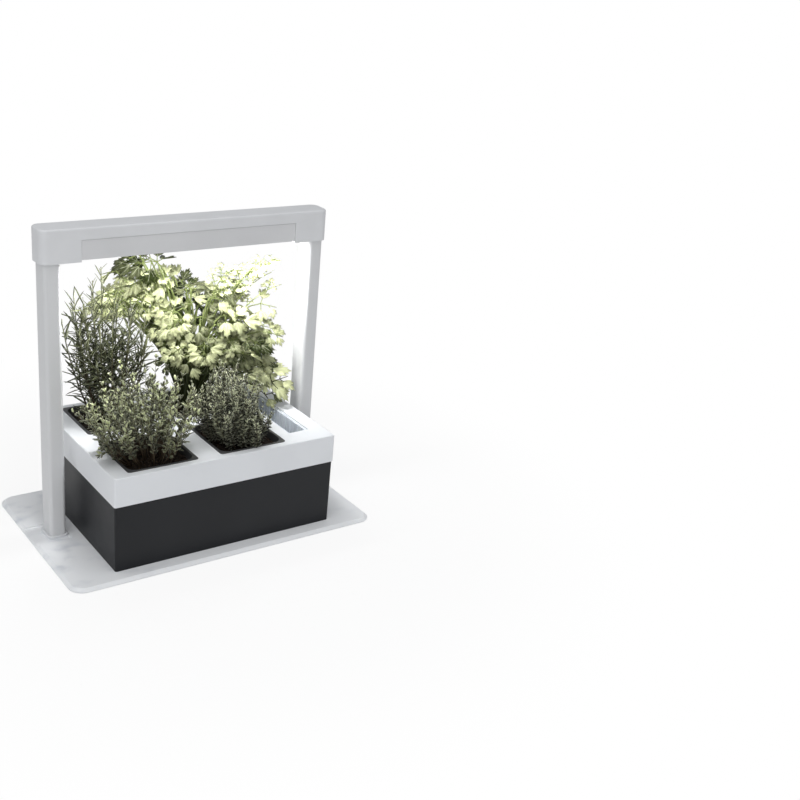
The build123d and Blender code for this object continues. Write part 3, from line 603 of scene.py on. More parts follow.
class Finish(Enum):
    """The finish of each material slot of the frame."""

    # the base's second colour is that of its painted reflections and shade
    base_plastic = BaseMoulding((0.885, 0.895, 0.91), (0.44, 0.47, 0.54), 0.40)
    foot_rubber = Moulding((0.02, 0.02, 0.022), 0.8, grain=0.0008, grain_depth=0.00005)
    post_coating = PowderCoat((0.845, 0.85, 0.86), 0.40)
    collar_plastic = Moulding((0.72, 0.73, 0.75), 0.38)
    block_plastic = Moulding((0.02, 0.02, 0.022), 0.5)
    screw_steel = Metal((0.62, 0.62, 0.64), 0.3)
    lamp_plastic = Moulding((0.745, 0.75, 0.765), 0.46, grain=0.0006, grain_depth=0.00003, cloud=0.02)
    panel_grey = Moulding((0.70, 0.70, 0.71), 0.5, grain=0.0006, grain_depth=0.00004, cloud=0.02)
    sink_aluminium = Metal((0.80, 0.81, 0.82), 0.35)
    board_white = CircuitBoard((0.80, 0.81, 0.79), (0.70, 0.69, 0.60))
    led_chip = Glow((0.95, 0.85, 0.45), (0.95, 0.97, 1.0), 4.0)
    diffuser_frost = Glow((0.90, 0.92, 0.94), (0.93, 0.96, 1.0), 1.0)
    board_green = CircuitBoard((0.02, 0.10, 0.05), (0.05, 0.20, 0.09))
    inlet_black = Moulding((0.015, 0.015, 0.016), 0.3)
    lead_rubber = Moulding((0.02, 0.02, 0.02), 0.55)
    switch_black = Moulding((0.02, 0.02, 0.02), 0.45)
    button_white = Moulding((0.62, 0.62, 0.64), 0.4)
    reservoir_black = Moulding((0.0110, 0.0120, 0.0145), 0.46, grain=0.0009, grain_depth=0.00006, cloud=0.08,
                               cloud_size=0.09, sheen_change=0.05, shine=0.28)
    shelf_grey = Moulding((0.10, 0.10, 0.11), 0.5)
    mat_felt = Felt((0.20, 0.20, 0.18))
    cover_white = Moulding((0.83, 0.845, 0.87), 0.36, grain_depth=0.000012, cloud=0.015, cloud_size=0.08,
                           sheen_change=0.05, coat=0.1)
    well_plastic = Moulding((0.74, 0.78, 0.83), 0.3, grain=0.0006, cloud=0.04)
    pot_black = Moulding((0.062, 0.062, 0.063), 0.42, grain=0.0012, grain_depth=0.00008, cloud=0.15,
                         cloud_size=0.03)
    potting_soil = Compost((0.016, 0.011, 0.008), (0.06, 0.038, 0.022))


@dataclass(frozen=True)
class Softlight:
    """A soft lamp: where it stands, what it faces, its size and its power in watts."""

    place: Place
    target: Place
    size: Span
    power: float


@dataclass(frozen=True)
class Studio:
    """The camera, the pale floor and the soft lights."""

    camera_place: Place = (-0.7566, -1.4970, 0.8903)
    azimuth: float = math.radians(-37.8)
    elevation: float = math.radians(22.02)
    roll: float = math.radians(5.43)
    focal_pixels: float = 1168.46
    picture_pixels: float = 800.0
    sensor: float = 36.0
    clip: Span = (0.05, 50.0)
    floor_size: float = 12.0
    floor_drop: float = 0.0002
    floor_greys: tuple[Colour, Colour] = ((0.86, 0.86, 0.86), (0.88, 0.88, 0.88))
    floor_grain: float = 0.05
    near_white: float = 0.88
    white_from: Span = (0.25, 0.75)
    sky: Colour = (0.95, 0.975, 1.0)
    sky_strength: float = 0.40
    softbox: Softlight = Softlight((-0.5, -0.7, 2.2), (0, 0, 0.1), (2.2, 2.2), 21.0)
    front_fill: Softlight = Softlight((-1.4, -2.0, 1.0), (0, 0, 0.2), (1.6, 1.2), 6.8)
    grow_power: float = 0.77
    grow_colour: Colour = (0.99, 1.0, 1.0)
    grow_drop: float = 0.002
    end_power: float = 0.16
    end_size: Span = (0.05, 0.03)
    end_gap: float = 0.07
    end_drop: float = 0.012
    end_aim_drop: float = 0.075
    end_spread: float = math.radians(100)

    def camera(self) -> bpy.types.Object:
        """The camera at the photograph's place, turned by its small roll.

        Returns:
            The camera.
        """
        across, up = math.cos(self.azimuth), math.sin(self.azimuth)
        level = math.cos(self.elevation)
        back = Vector((up * level, -across * level, math.sin(self.elevation)))
        right = Vector((across, up, 0))
        over = back.cross(right)
        turned_right = right * math.cos(self.roll) + over * math.sin(self.roll)
        turned_up = over * math.cos(self.roll) - right * math.sin(self.roll)
        data = bpy.data.cameras.new("camera")
        data.sensor_width = self.sensor
        data.lens = self.focal_pixels * self.sensor / self.picture_pixels
        data.clip_start, data.clip_end = self.clip
        camera = bpy.data.objects.new("camera", data)
        bpy.context.scene.collection.objects.link(camera)
        turn = Matrix((turned_right, turned_up, back)).transposed().to_4x4()
        camera.matrix_world = Matrix.Translation(Vector(self.camera_place)) @ turn
        bpy.context.scene.camera = camera
        return camera

    def floor(self) -> bpy.types.Object:
        """A white floor that keeps the object's soft shadow.

        Returns:
            The floor.
        """
        half = self.floor_size / 2
        corners = [(-half, -half), (half, -half), (half, half), (-half, half)]
        mesh = bpy.data.meshes.new("floor")
        mesh.from_pydata([(x, y, -self.floor_drop) for x, y in corners], [], [(0, 1, 2, 3)])
        floor = bpy.data.objects.new("floor", mesh)
        bpy.context.scene.collection.objects.link(floor)
        tree = FinishTree("floor")
        camera_ray, glossy_ray, transmission_ray = (
            tree.add("ShaderNodeLightPath", output=f"Is {kind} Ray")
            for kind in ("Camera", "Glossy", "Transmission"))
        seen = camera_ray + glossy_ray + transmission_ray
        away = tree.add("ShaderNodeVectorMath", {"operation": "LENGTH"}, {0: tree.place()}, "Value")
        whiter = self.near_white + (1 - self.near_white) * away.smooth(*self.white_from)
        grey = tree.mix(tree.noise(self.floor_grain), *self.floor_greys)
        lit = tree.add("ShaderNodeBsdfDiffuse", sockets={"Color": grey})
        white = tree.add("ShaderNodeEmission", sockets={"Color": (*WHITE, 1.0), "Strength": 1.0})
        mixed = tree.add("ShaderNodeMixShader", sockets={0: seen * whiter, 1: lit, 2: white})
        tree.add("ShaderNodeOutputMaterial", sockets={"Surface": mixed})
        mesh.materials.append(tree.material)
        return floor

    def surroundings(self) -> None:
        """The even light from all round, white where it is looked at."""
        world = bpy.data.worlds.new("surroundings")
        bpy.context.scene.world = world
        world.use_nodes = True
        tree = NodeTree(world.node_tree)
        seen = tree.add("ShaderNodeLightPath", output="Is Camera Ray")
        light = tree.add("ShaderNodeBackground",
                         sockets={"Color": (*self.sky, 1.0), "Strength": self.sky_strength})
        white = tree.add("ShaderNodeBackground", sockets={"Color": (*WHITE, 1.0), "Strength": 1.0})
        mixed = tree.add("ShaderNodeMixShader", sockets={0: seen, 1: light, 2: white})
        tree.add("ShaderNodeOutputWorld", sockets={"Surface": mixed})

    def lamp(self, name: str, light: Softlight, colour: Colour = WHITE,
             spread: float = math.pi) -> bpy.types.Object:
        """One soft lamp.

        Args:
            name: Its name.
            light: Its place, target, size and power.
            colour: The light's colour.
            spread: The angle that its light stays within.

        Returns:
            The lamp.
        """
        data = bpy.data.lights.new(name, "AREA")
        data.shape = "RECTANGLE"
        data.size, data.size_y = light.size
        data.energy = light.power
        data.color = colour
        data.spread = spread
        lamp = bpy.data.objects.new(name, data)
        bpy.context.scene.collection.objects.link(lamp)
        lamp.location = light.place
        aim = Vector(light.target) - Vector(light.place)
        lamp.rotation_euler = aim.to_track_quat("-Z", "Y").to_euler()
        lamp.visible_camera = False
        return lamp

    def lights(self) -> None:
        """The overhead softbox, the front fill and the planter's own lamp, which is strongest at its ends."""
        low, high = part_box("lamp_diffuser")
        middle = (low + high) / 2
        self.lamp("softbox", self.softbox)
        self.lamp("front_fill", self.front_fill)
        under = Softlight((middle.x, middle.y, low.z - self.grow_drop), (middle.x, middle.y, 0),
                          (high.x - low.x, high.y - low.y), self.grow_power)
        grow = self.lamp("grow_light", under, self.grow_colour)
        grow.visible_glossy = False
        for name, side in (("left_end_light", -1), ("right_end_light", 1)):
            place = (side * (high.x - self.end_gap), middle.y, low.z - self.end_drop)
            target = (side * high.x, middle.y, low.z - self.end_aim_drop)
            light = Softlight(place, target, self.end_size, self.end_power)
            end = self.lamp(name, light, spread=self.end_spread)
            end.visible_glossy = False


@dataclass
class Shape:
    """A small closed mesh that is copied many times, with how near its rim each point is."""

    points: np.ndarray
    faces: list[tuple[int, ...]]
    rim: np.ndarray


def needle(length: float, width: float, thickness: float, curl: float) -> Shape:
    """A three-sided needle that bends back towards its tip.

    Args:
        length: From foot to tip.
        width: Across its broad underside.
        thickness: From the underside to the ridge.
        curl: How far the tip bends down.

    Returns:
        The needle, along Y, with its underside marked as rim.
    """
    stations = ((0.0, 0.55), (0.35, 1.0), (0.78, 0.8))  # shares of the length and of the width
    points, rim = [], []
    for along, wide in stations:
        drop = -curl * along * along
        y = length * along
        points += [(-width * wide / 2, y, drop), (width * wide / 2, y, drop), (0, y, drop + thickness * wide)]
        rim += [1, 1, 0]
    points.append((0, length, -curl))
    rim.append(0.5)
    faces, sides, last = [(0, 1, 2)], ((0, 1), (1, 2), (2, 0)), 3 * len(stations) - 3
    for i in range(0, last, 3):
        faces += [(i + a, i + 3 + a, i + 3 + b, i + b) for a, b in sides]
    faces += [(last + a, len(points) - 1, last + b) for a, b in sides]
    return Shape(np.array(points, float), faces, np.array(rim, float))


def blade(length: float, width: float, fold: float, thickness: float) -> Shape:
    """A small oval leaf folded along its midrib.

    Args:
        length: From foot to tip.
        width: At its broadest.
        fold: How far its rim stands above the midrib.
        thickness: At the midrib.

    Returns:
        The leaf, along Y, facing up.
    """
    stations = ((0.32, 0.94), (0.7, 0.9))  # shares of the length and of the width
    foot_rim, tip_fold = 0.6, 0.3
    points = [(0, 0, 0)]
    rim = [foot_rim]
    for along, wide in stations:
        y, half, high = length * along, width * wide / 2, fold * wide
        points += [(-half, y, high), (0, y, thickness / 2), (half, y, high), (0, y, -thickness / 2)]
        rim += [1, 0, 1, 0]
    points.append((0, length, fold * tip_fold))
    rim.append(1)
    faces, last, tip = [], 4 * len(stations) - 4, len(points) - 1
    for a, b in ((1, 2), (2, 3), (3, 4), (4, 1)):
        faces.append((0, b, a))
        faces += [(a + i, b + i, b + i + 4, a + i + 4) for i in range(0, last, 4)]
        faces.append((a + last, b + last, tip))
    return Shape(np.array(points, float), faces, np.array(rim, float))


def bud(length: float, width: float) -> Shape:
    """A tiny pointed leaf of six faces.

    Args:
        length: From foot to tip.
        width: At its broadest.

    Returns:
        The leaf, along Y, facing up.
    """
    broadest, ridge = length * 0.45, length * 0.4
    points = [(0, 0, 0), (-width / 2, broadest, 0), (width / 2, broadest, 0), (0, ridge, width / 3),
              (0, length, 0)]
    faces = [(0, 2, 1), (0, 3, 2), (0, 1, 3), (4, 1, 2), (4, 2, 3), (4, 3, 1)]
    return Shape(np.array(points, float), faces, np.array([0.2, 0.7, 0.7, 0.1, 1.0]))


@dataclass
class Leaflet:
    """The wedge-shaped leaflet of flat parsley: three lobes with blunt teeth."""

    spread: float = math.radians(52)
    lobes: int = 3
    lobe_depth: float = 0.32
    teeth: int = 9
    tooth_depth: float = 0.17
    side_drop: float = 0.38
    lobe_power: float = 0.6
    side_power: float = 1.5
    rays: int = 19
    rings: Span = (0.55, 1.0)
    vein_from: float = 0.985
    vein_sink: float = 0.05
    thickness: float = 0.016
    wave: float = 0.05
    cup: float = 0.16
    droop: float = 0.22

    def reach(self, share: float) -> float:
        """The outline's reach at a share of the spread, for a leaflet one long.

        Args:
            share: From 0 at one side of the leaflet to 1 at the other.

        Returns:
            The distance from its foot to the outline there.
        """
        side = abs(2 * share - 1)
        lobe = abs(math.sin(self.lobes * math.pi * share)) ** self.lobe_power
        tooth = 0.5 + 0.5 * math.cos(math.tau * self.teeth * share + math.pi)
        sides = 1 - self.side_drop * side ** self.side_power
        return sides * (1 - self.lobe_depth * (1 - lobe)) * (1 - self.tooth_depth * (1 - tooth))

    def shape(self, chance: random.Random) -> Shape:
        """One leaflet, one long, along Y and facing up.

        Args:
            chance: Gives each variant its own waves.

        Returns:
            The closed leaflet, with veins and rim marked.
        """
        phase = chance.uniform(0, math.tau)
        tops, marks = [(0.0, 0.0, 0.0)], [1.0]
        for ring in self.rings:
            for i in range(self.rays):
                share = i / (self.rays - 1)
                angle = (2 * share - 1) * self.spread
                out = self.reach(share) * ring
                x, y = out * math.sin(angle), out * math.cos(angle)
                lobe = abs(math.sin(self.lobes * math.pi * share))
                ripple = self.wave * ring * math.sin(3 * angle * self.lobes + phase)
                vein = self.vein_sink * lobe * (1 - ring)
                tops.append((x, y, self.cup * abs(x) - self.droop * y * y + ripple - vein))
                marks.append(1.0 if lobe > self.vein_from and ring < 1 else 0.0)
        count, last_ring = len(tops), len(self.rings) - 1
        points = tops + [(x, y, z - self.thickness) for x, y, z in tops]
        faces = []
        for i in range(self.rays - 1):
            faces += [(0, 2 + i, 1 + i), (count, count + 1 + i, count + 2 + i)]
            for ring in range(last_ring):
                a = 1 + ring * self.rays + i
                b = a + self.rays
                faces += [(a, a + 1, b + 1, b), (count + a, count + b, count + b + 1, count + a + 1)]
            edge = 1 + last_ring * self.rays + i
            faces.append((edge, edge + 1, count + edge + 1, count + edge))
        for side, flipped in ((0, False), (self.rays - 1, True)):
            chain = [0] + [1 + ring * self.rays + side for ring in range(last_ring + 1)]
            for a, b in zip(chain, chain[1:]):
                wall = (a, b, count + b, count + a)
                faces.append(wall[::-1] if flipped else wall)
        return Shape(np.array(points), faces, np.array(marks + marks))


def square_to(along: Vector) -> tuple[Vector, Vector]:
    """Two directions square to one and to each other.

    Args:
        along: The one.

    Returns:
        The two.
    """
    hint = Vector((1, 0, 0)) if abs(along.z) > 0.5 else Vector((0, 0, 1))
    first = along.cross(hint).normalized()
    return first, along.cross(first).normalized()


def turned(across: tuple[Vector, Vector], turn: float) -> Vector:
    """The direction at a turn between two that are square to each other."""
    return across[0] * math.cos(turn) + across[1] * math.sin(turn)


def opened(along: Vector, away: Vector, angle: float) -> tuple[Vector, Vector]:
    """How a leaf stands off its stem.

    Args:
        along: Where the stem goes.
        away: The direction off the stem.
        angle: How far the leaf is opened.

    Returns:
        Where its length and its face point.
    """
    direction = (along * math.cos(angle) + away * math.sin(angle)).normalized()
    return direction, along * math.sin(angle) - away * math.cos(angle)


def closing(t: float, start: float, share: float) -> float:
    """What is left of an angle or a size near a shoot's tip.

    Args:
        t: The share of the shoot.
        start: The share from which less is left.
        share: How much is taken away at the tip.

    Returns:
        A factor: 1 up to the start, and less towards the tip.
    """
    return 1 - share * (max(0.0, t - start) / (1 - start))


@dataclass
class Shoot:
    """A stem's curve, from its foot past a bend to its tip."""

    foot: Vector
    bend: Vector
    tip: Vector

    def at(self, t: float) -> Vector:
        """The place at a share of the curve."""
        return self.foot * (1 - t) ** 2 + self.bend * (2 * t * (1 - t)) + self.tip * t ** 2

    def along(self, t: float) -> Vector:
        """The direction at a share of the curve."""
        return ((self.bend - self.foot) * (1 - t) + (self.tip - self.bend) * t).normalized()

    def length(self) -> float:
        """The curve's length, nearly."""
        parts = 8
        places = [self.at(i / parts) for i in range(parts + 1)]
        return sum((b - a).length for a, b in zip(places, places[1:]))

    def stations(self, bare: float, pitch: float) -> Iterator[tuple[float, Vector, tuple[Vector, Vector]]]:
        """Where its whorls of leaves stand.

        Args:
            bare: The share of it that has no leaves.
            pitch: The distance from one whorl to the next.

        Yields:
            The share of the curve, its direction there, and the two directions square to that.
        """
        count = int(self.length() * (1 - bare) / pitch)
        for i in range(count + 1):
            t = bare + (1 - bare) * i / max(1, count)
            along = self.along(t)
            yield t, along, square_to(along)


class Layer(IntEnum):
    """Which of a plant's two materials a face takes."""

    LEAVES = 0
    STEMS = 1


class Foliage:
    """Gathers copies of leaves and stems into one mesh, with each one's own tone."""

    def __init__(self) -> None:
        """Starts with nothing."""
        self.points: list[np.ndarray] = []
        self.rims: list[np.ndarray] = []
        self.tones: list[np.ndarray] = []
        self.faces: list[tuple[int, ...]] = []
        self.layers: list[int] = []
        self.count = 0

    def take(self, points: np.ndarray, faces: Sequence[tuple[int, ...]], rim: np.ndarray,
             tone: float = 0.0, layer: Layer = Layer.LEAVES) -> None:
        """Adds points and faces.

        Args:
            points: The points, in metres.
            faces: The faces, by the numbers of these points.
            rim: How near its rim or veins each point is.
            tone: From 0, dark, to 1, bright.
            layer: The material that the faces take.
        """
        self.points.append(points)
        self.rims.append(rim)
        self.tones.append(np.full(len(points), tone))
        self.faces += [tuple(i + self.count for i in face) for face in faces]
        self.layers += [int(layer)] * len(faces)
        self.count += len(points)

    def leaf(self, shape: Shape, foot: Vector, along: Vector, up: Vector, size: float, tone: float) -> None:
        """Adds one copy of a shape.

        Args:
            shape: What is copied, lying along Y and facing Z.
            foot: Where its foot goes.
            along: Where its length points.
            up: Where its face points, roughly.
            size: How many times larger it is made.
            tone: From 0, dark, to 1, bright.
        """
        side = along.cross(up).normalized()
        face = side.cross(along)
        turn = np.array((side, along, face)) * size
        self.take(shape.points @ turn + np.array(foot), shape.faces, shape.rim, tone)

    def stem(self, shoot: Shoot, radii: Span, steps: int = 5, sides: int = 5) -> None:
        """Adds a tube along a shoot, closed at both ends.

        Args:
            shoot: The curve.
            radii: Its radius at the foot and at the tip.
            steps: How many lengths it has.
            sides: How many sides it has.
        """
        points = []
        across = square_to(shoot.along(0.5))
        for i in range(steps + 1):
            centre = shoot.at(i / steps)
            radius = radii[0] + (radii[1] - radii[0]) * i / steps
            points += [centre + turned(across, math.tau * j / sides) * radius for j in range(sides)]
        faces = [tuple(reversed(range(sides))), tuple(range(steps * sides, (steps + 1) * sides))]
        for i in range(steps):
            for j in range(sides):
                a, b = i * sides + j, i * sides + (j + 1) % sides
                faces.append((a, b, b + sides, a + sides))
        self.take(np.array(points, float), faces, np.zeros(len(points)), layer=Layer.STEMS)

    def piece(self, name: str, materials: Sequence[bpy.types.Material]) -> bpy.types.Object:
        """Makes the mesh.

        Args:
            name: The piece's name.
            materials: One for each layer that was used.

        Returns:
            The piece.
        """
        mesh = bpy.data.meshes.new(name)
        mesh.from_pydata(np.concatenate(self.points).tolist(), [], self.faces)
        for mark, values in (("tone", self.tones), ("rim", self.rims)):
            layer = mesh.attributes.new(mark, "FLOAT", "POINT")
            layer.data.foreach_set("value", np.concatenate(values).astype(np.float32))
        for material in materials:
            mesh.materials.append(material)
        mesh.polygons.foreach_set("material_index", self.layers)
        mesh.polygons.foreach_set("use_smooth", [True] * len(mesh.polygons))
        piece = bpy.data.objects.new(name, mesh)
        bpy.context.scene.collection.objects.link(piece)
        log.info("%s has %d faces", name, len(self.faces))
        return piece


@dataclass(frozen=True)
class Plan:
    """The space that a herb may fill, seen from above, in metres."""

    west: float
    east: float
    south: float
    north: float


@dataclass
class Herb:
    """A herb in its pot: where it stands, the plan that its leaves keep to and how light and shade are
    painted on its leaves.
    """

    name: str
    pot: str
    seed: int
    plan: Plan
    ceiling: float = 0.415
    lamp_gap: float = 0.008
    pot_lift: float = 0.105
    tip_room: float = 0.004
    # painted light and shade on the leaves: the share painted in shade, the darkest tone at a shoot's foot,
    # and the factors for lit and shaded leaves
    shade: float = 0.45
    darkest: float = 0.06
    tone_power: float = 2.5
    in_light: float = 1.25
    in_shade: float = 0.4
    sprig_lights: Span = (0.55, 1.0)
    sprig_light: float = 1.0
    step_back: float = 0.06
    chance: random.Random = field(init=False)
    root: Vector = field(init=False)
    lamp_low: Vector = field(init=False)
    lamp_high: Vector = field(init=False)

    def __post_init__(self) -> None:
        """Finds the middle of the soil in its pot, and the space that its lamp leaves it."""
        low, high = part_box(f"soil_{self.pot}")
        self.root = Vector(((low.x + high.x) / 2, (low.y + high.y) / 2, high.z))
        self.chance = random.Random(self.seed)
        self.lamp_low, self.lamp_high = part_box("lamp_housing")

    def lit(self, t: float) -> float:
        """A leaf's tone, which is painted light and shade: some leaves are painted as lying in the light and
        some in the shade, and it is painted darker towards the foot, inside the bush.

        Args:
            t: The share of the shoot where the leaf stands.

        Returns:
            From 0, dark, to 1, bright.
        """
        share = self.chance.random()
        inside = self.darkest + (1 - self.darkest) * t ** self.tone_power
        return min(1.0, self.sprig_light * inside * (self.in_light if share > self.shade else self.in_shade * share))

    def free(self, point: Vector) -> bool:
        """Whether a leaf may reach a point: inside its plan, and clear of the lamp when its pot is lifted.

        Args:
            point: The point, in the planter's frame.

        Returns:
            Whether it may.
        """
        plan = self.plan
        inside = plan.west < point.x < plan.east and plan.south < point.y < plan.north
        if not (inside and point.z < self.ceiling):
            return False
        under = self.lamp_low.y - self.lamp_gap < point.y < self.lamp_high.y + self.lamp_gap
        return not under or point.z < self.lamp_low.z - self.pot_lift - self.lamp_gap

    def fitted(self, shoot: Shoot) -> Shoot:
        """Lowers a shoot until its tip is free.

        Args:
            shoot: The curve that is wanted.

        Returns:
            The curve, shortened towards the soil as far as is needed.
        """
        room, lowest = Vector((0, 0, self.tip_room)), self.root.z + self.tip_room
        while not self.free(shoot.tip + room) and shoot.tip.z > lowest:
            shoot = Shoot(shoot.foot, shoot.bend.lerp(shoot.foot, self.step_back),
                          shoot.tip.lerp(shoot.foot, self.step_back))
        return shoot

    def dress(self, foliage: Foliage, finishes: Mapping[str, Union[Greenery, Stalk]]) -> bpy.types.Object:
        """Makes the piece, in the place of the plain solid.

        Args:
            foliage: Its leaves and stems.
            finishes: The finish of the leaves and then that of the stems, each under its name.

        Returns:
            The piece.
        """
        piece = foliage.piece(self.name, [finish.material(name) for name, finish in finishes.items()])
        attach(piece, f"{self.name}_pot")
        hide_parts(f"{self.name}_plant")
        return piece


@dataclass(frozen=True)
class Fan:
    """How a bushy herb's main sprigs stand: each turns on from the last and reaches further out."""

    crown_radius: float
    height: float
    lean: Span
    reach: Span
    sprigs: int
    edge_drop: float
    front_drop: float = 0.0
    right_drop: float = 0.0
    bend_reach: float = 0.7
    bend_height: float = 0.4

    def shoots(self, root: Vector) -> Iterator[Shoot]:
        """The sprigs from the middle outwards.

        Args:
            root: The middle of the soil.

        Yields:
            Each sprig's curve.
        """
        for i in range(self.sprigs):
            turn = math.tau * GOLDEN_TURN * i
            out = math.sqrt((i + 1) / self.sprigs)
            east, north = math.cos(turn) * out, math.sin(turn) * out
            rise = self.height * (1 - self.edge_drop * out * out - self.front_drop * max(0, -north)
                                  - self.right_drop * max(0, east))
            foot = root + Vector((east * self.crown_radius, north * self.crown_radius, 0))
            (lean_x, lean_y), (reach_x, reach_y) = self.lean, self.reach
            tip = root + Vector((lean_x + east * reach_x, lean_y + north * reach_y, rise))
            bend = foot.lerp(tip, self.bend_reach)
            bend.z = root.z + rise * self.bend_height
            yield Shoot(foot, bend, tip)


@dataclass
class Rosemary(Herb):
    """Upright woody sprigs set all round with long narrow needles."""

    fan: Fan = Fan(crown_radius=0.020, height=0.205, lean=(-0.004, -0.002), reach=(0.070, 0.044), sprigs=19,
                   edge_drop=0.16, front_drop=0.20, right_drop=0.06)
    sprig_lights: Span = (0.2, 1.0)
    leaders: Sequence[Place] = ((-0.006, 0.012, 0.245), (-0.020, 0.010, 0.226), (-0.050, 0.008, 0.208))
    leader_foot: float = 0.3
    leader_bend: Span = (0.9, 0.5)
    side_shoots: int = 2
    side_starts: Span = (0.25, 0.7)
    side_lengths: Span = (0.04, 0.075)
    side_bend: Span = (0.4, 0.28)
    side_away: float = 0.36
    stem_radius: float = 0.0016
    side_radius: float = 0.0009
    stem_taper: float = 0.45
    bare: float = 0.10
    needle_length: float = 0.030
    needle_width: float = 0.0034
    needle_thickness: float = 0.045
    needle_curls: Sequence[float] = (0.04, 0.12, 0.2)
    needle_pitch: float = 0.0054
    needle_angles: Span = (28, 72)
    needle_sizes: Span = (0.7, 1.12)
    turn_change: float = 0.3
    closes: Span = (0.75, 0.55)
    shrinks: Span = (0.88, 0.45)
    # the needles' top colour is painted light on the highest needles
    needle_finish: Greenery = Greenery((0.026, 0.031, 0.012), (0.20, 0.22, 0.10), rim=(0.66, 0.68, 0.50),
                                       rim_edges=(0.72, 0.95), rim_share=0.8, top=(0.36, 0.38, 0.20),
                                       vein_depth=0.0002)
    stem_finish: Stalk = Stalk((0.06, 0.042, 0.025), (0.20, 0.21, 0.12), turns_green=(0.20, 0.30))

    def grow(self) -> bpy.types.Object:
        """Grows every sprig with its side shoots.

        Returns:
            The piece.
        """
        shapes = [needle(1.0, self.needle_width / self.needle_length, self.needle_thickness, curl)
                  for curl in self.needle_curls]
        foliage = Foliage()
        for shoot in [*map(self.leader, self.leaders), *self.fan.shoots(self.root)]:
            shoot = self.fitted(shoot)
            # each sprig is painted with its own share of light
            self.sprig_light = self.chance.uniform(*self.sprig_lights)
            self.sprig(foliage, shapes, shoot, self.stem_radius)
            for _ in range(self.side_shoots):
                side = self.side_shoot(shoot)
                if self.free(side.tip):
                    self.sprig(foliage, shapes, side, self.side_radius)
        return self.dress(foliage, {"rosemary_needles": self.needle_finish,
                                    "rosemary_stems": self.stem_finish})

    def leader(self, end: Place) -> Shoot:
        """A sprig that stands above the others.

        Args:
            end: Its tip, measured from the middle of the soil.

        Returns:
            Its curve.
        """
        x, y, z = end
        out, up = self.leader_bend
        foot = self.root + Vector((x * self.leader_foot, y * self.leader_foot, 0))
        return Shoot(foot, self.root + Vector((x * out, y * out, z * up)), self.root + Vector(end))

    def side_shoot(self, shoot: Shoot) -> Shoot:
        """A shorter sprig that leaves another at its side.

        Args:
            shoot: The curve that it leaves.

        Returns:
            Its own curve.
        """
        chance = self.chance
        t = chance.uniform(*self.side_starts)
        foot, along = shoot.at(t), shoot.along(t)
        away = turned(square_to(along), chance.uniform(0, math.tau))
        length = chance.uniform(*self.side_lengths)
        on, out = self.side_bend
        bend = foot + along * length * on + away * length * out
        return Shoot(foot, bend, foot + along * length + away * length * self.side_away)

    def sprig(self, foliage: Foliage, shapes: Sequence[Shape], shoot: Shoot, radius: float) -> None:
        """One stem with its needles.

        Args:
            foliage: What it is added to.
            shapes: The needles that it picks from.
            shoot: Its curve.
            radius: The stem's radius at its foot.
        """
        chance = self.chance
        foliage.stem(shoot, (radius, radius * self.stem_taper))
        count = int(shoot.length() / self.needle_pitch)
        turn = chance.uniform(0, math.tau)
        for i in range(count):
            t = self.bare + (1 - self.bare) * i / count
            along = shoot.along(t)
            turn += math.tau * GOLDEN_TURN + chance.uniform(-self.turn_change, self.turn_change)
            angle = math.radians(chance.uniform(*self.needle_angles) * closing(t, *self.closes))
            direction, face = opened(along, turned(square_to(along), turn), angle)
            size = self.needle_length * chance.uniform(*self.needle_sizes) * closing(t, *self.shrinks)
            foot = shoot.at(t)
            if self.free(foot + direction * size):
                foliage.leaf(chance.choice(shapes), foot, direction, face.normalized(), size, self.lit(t))


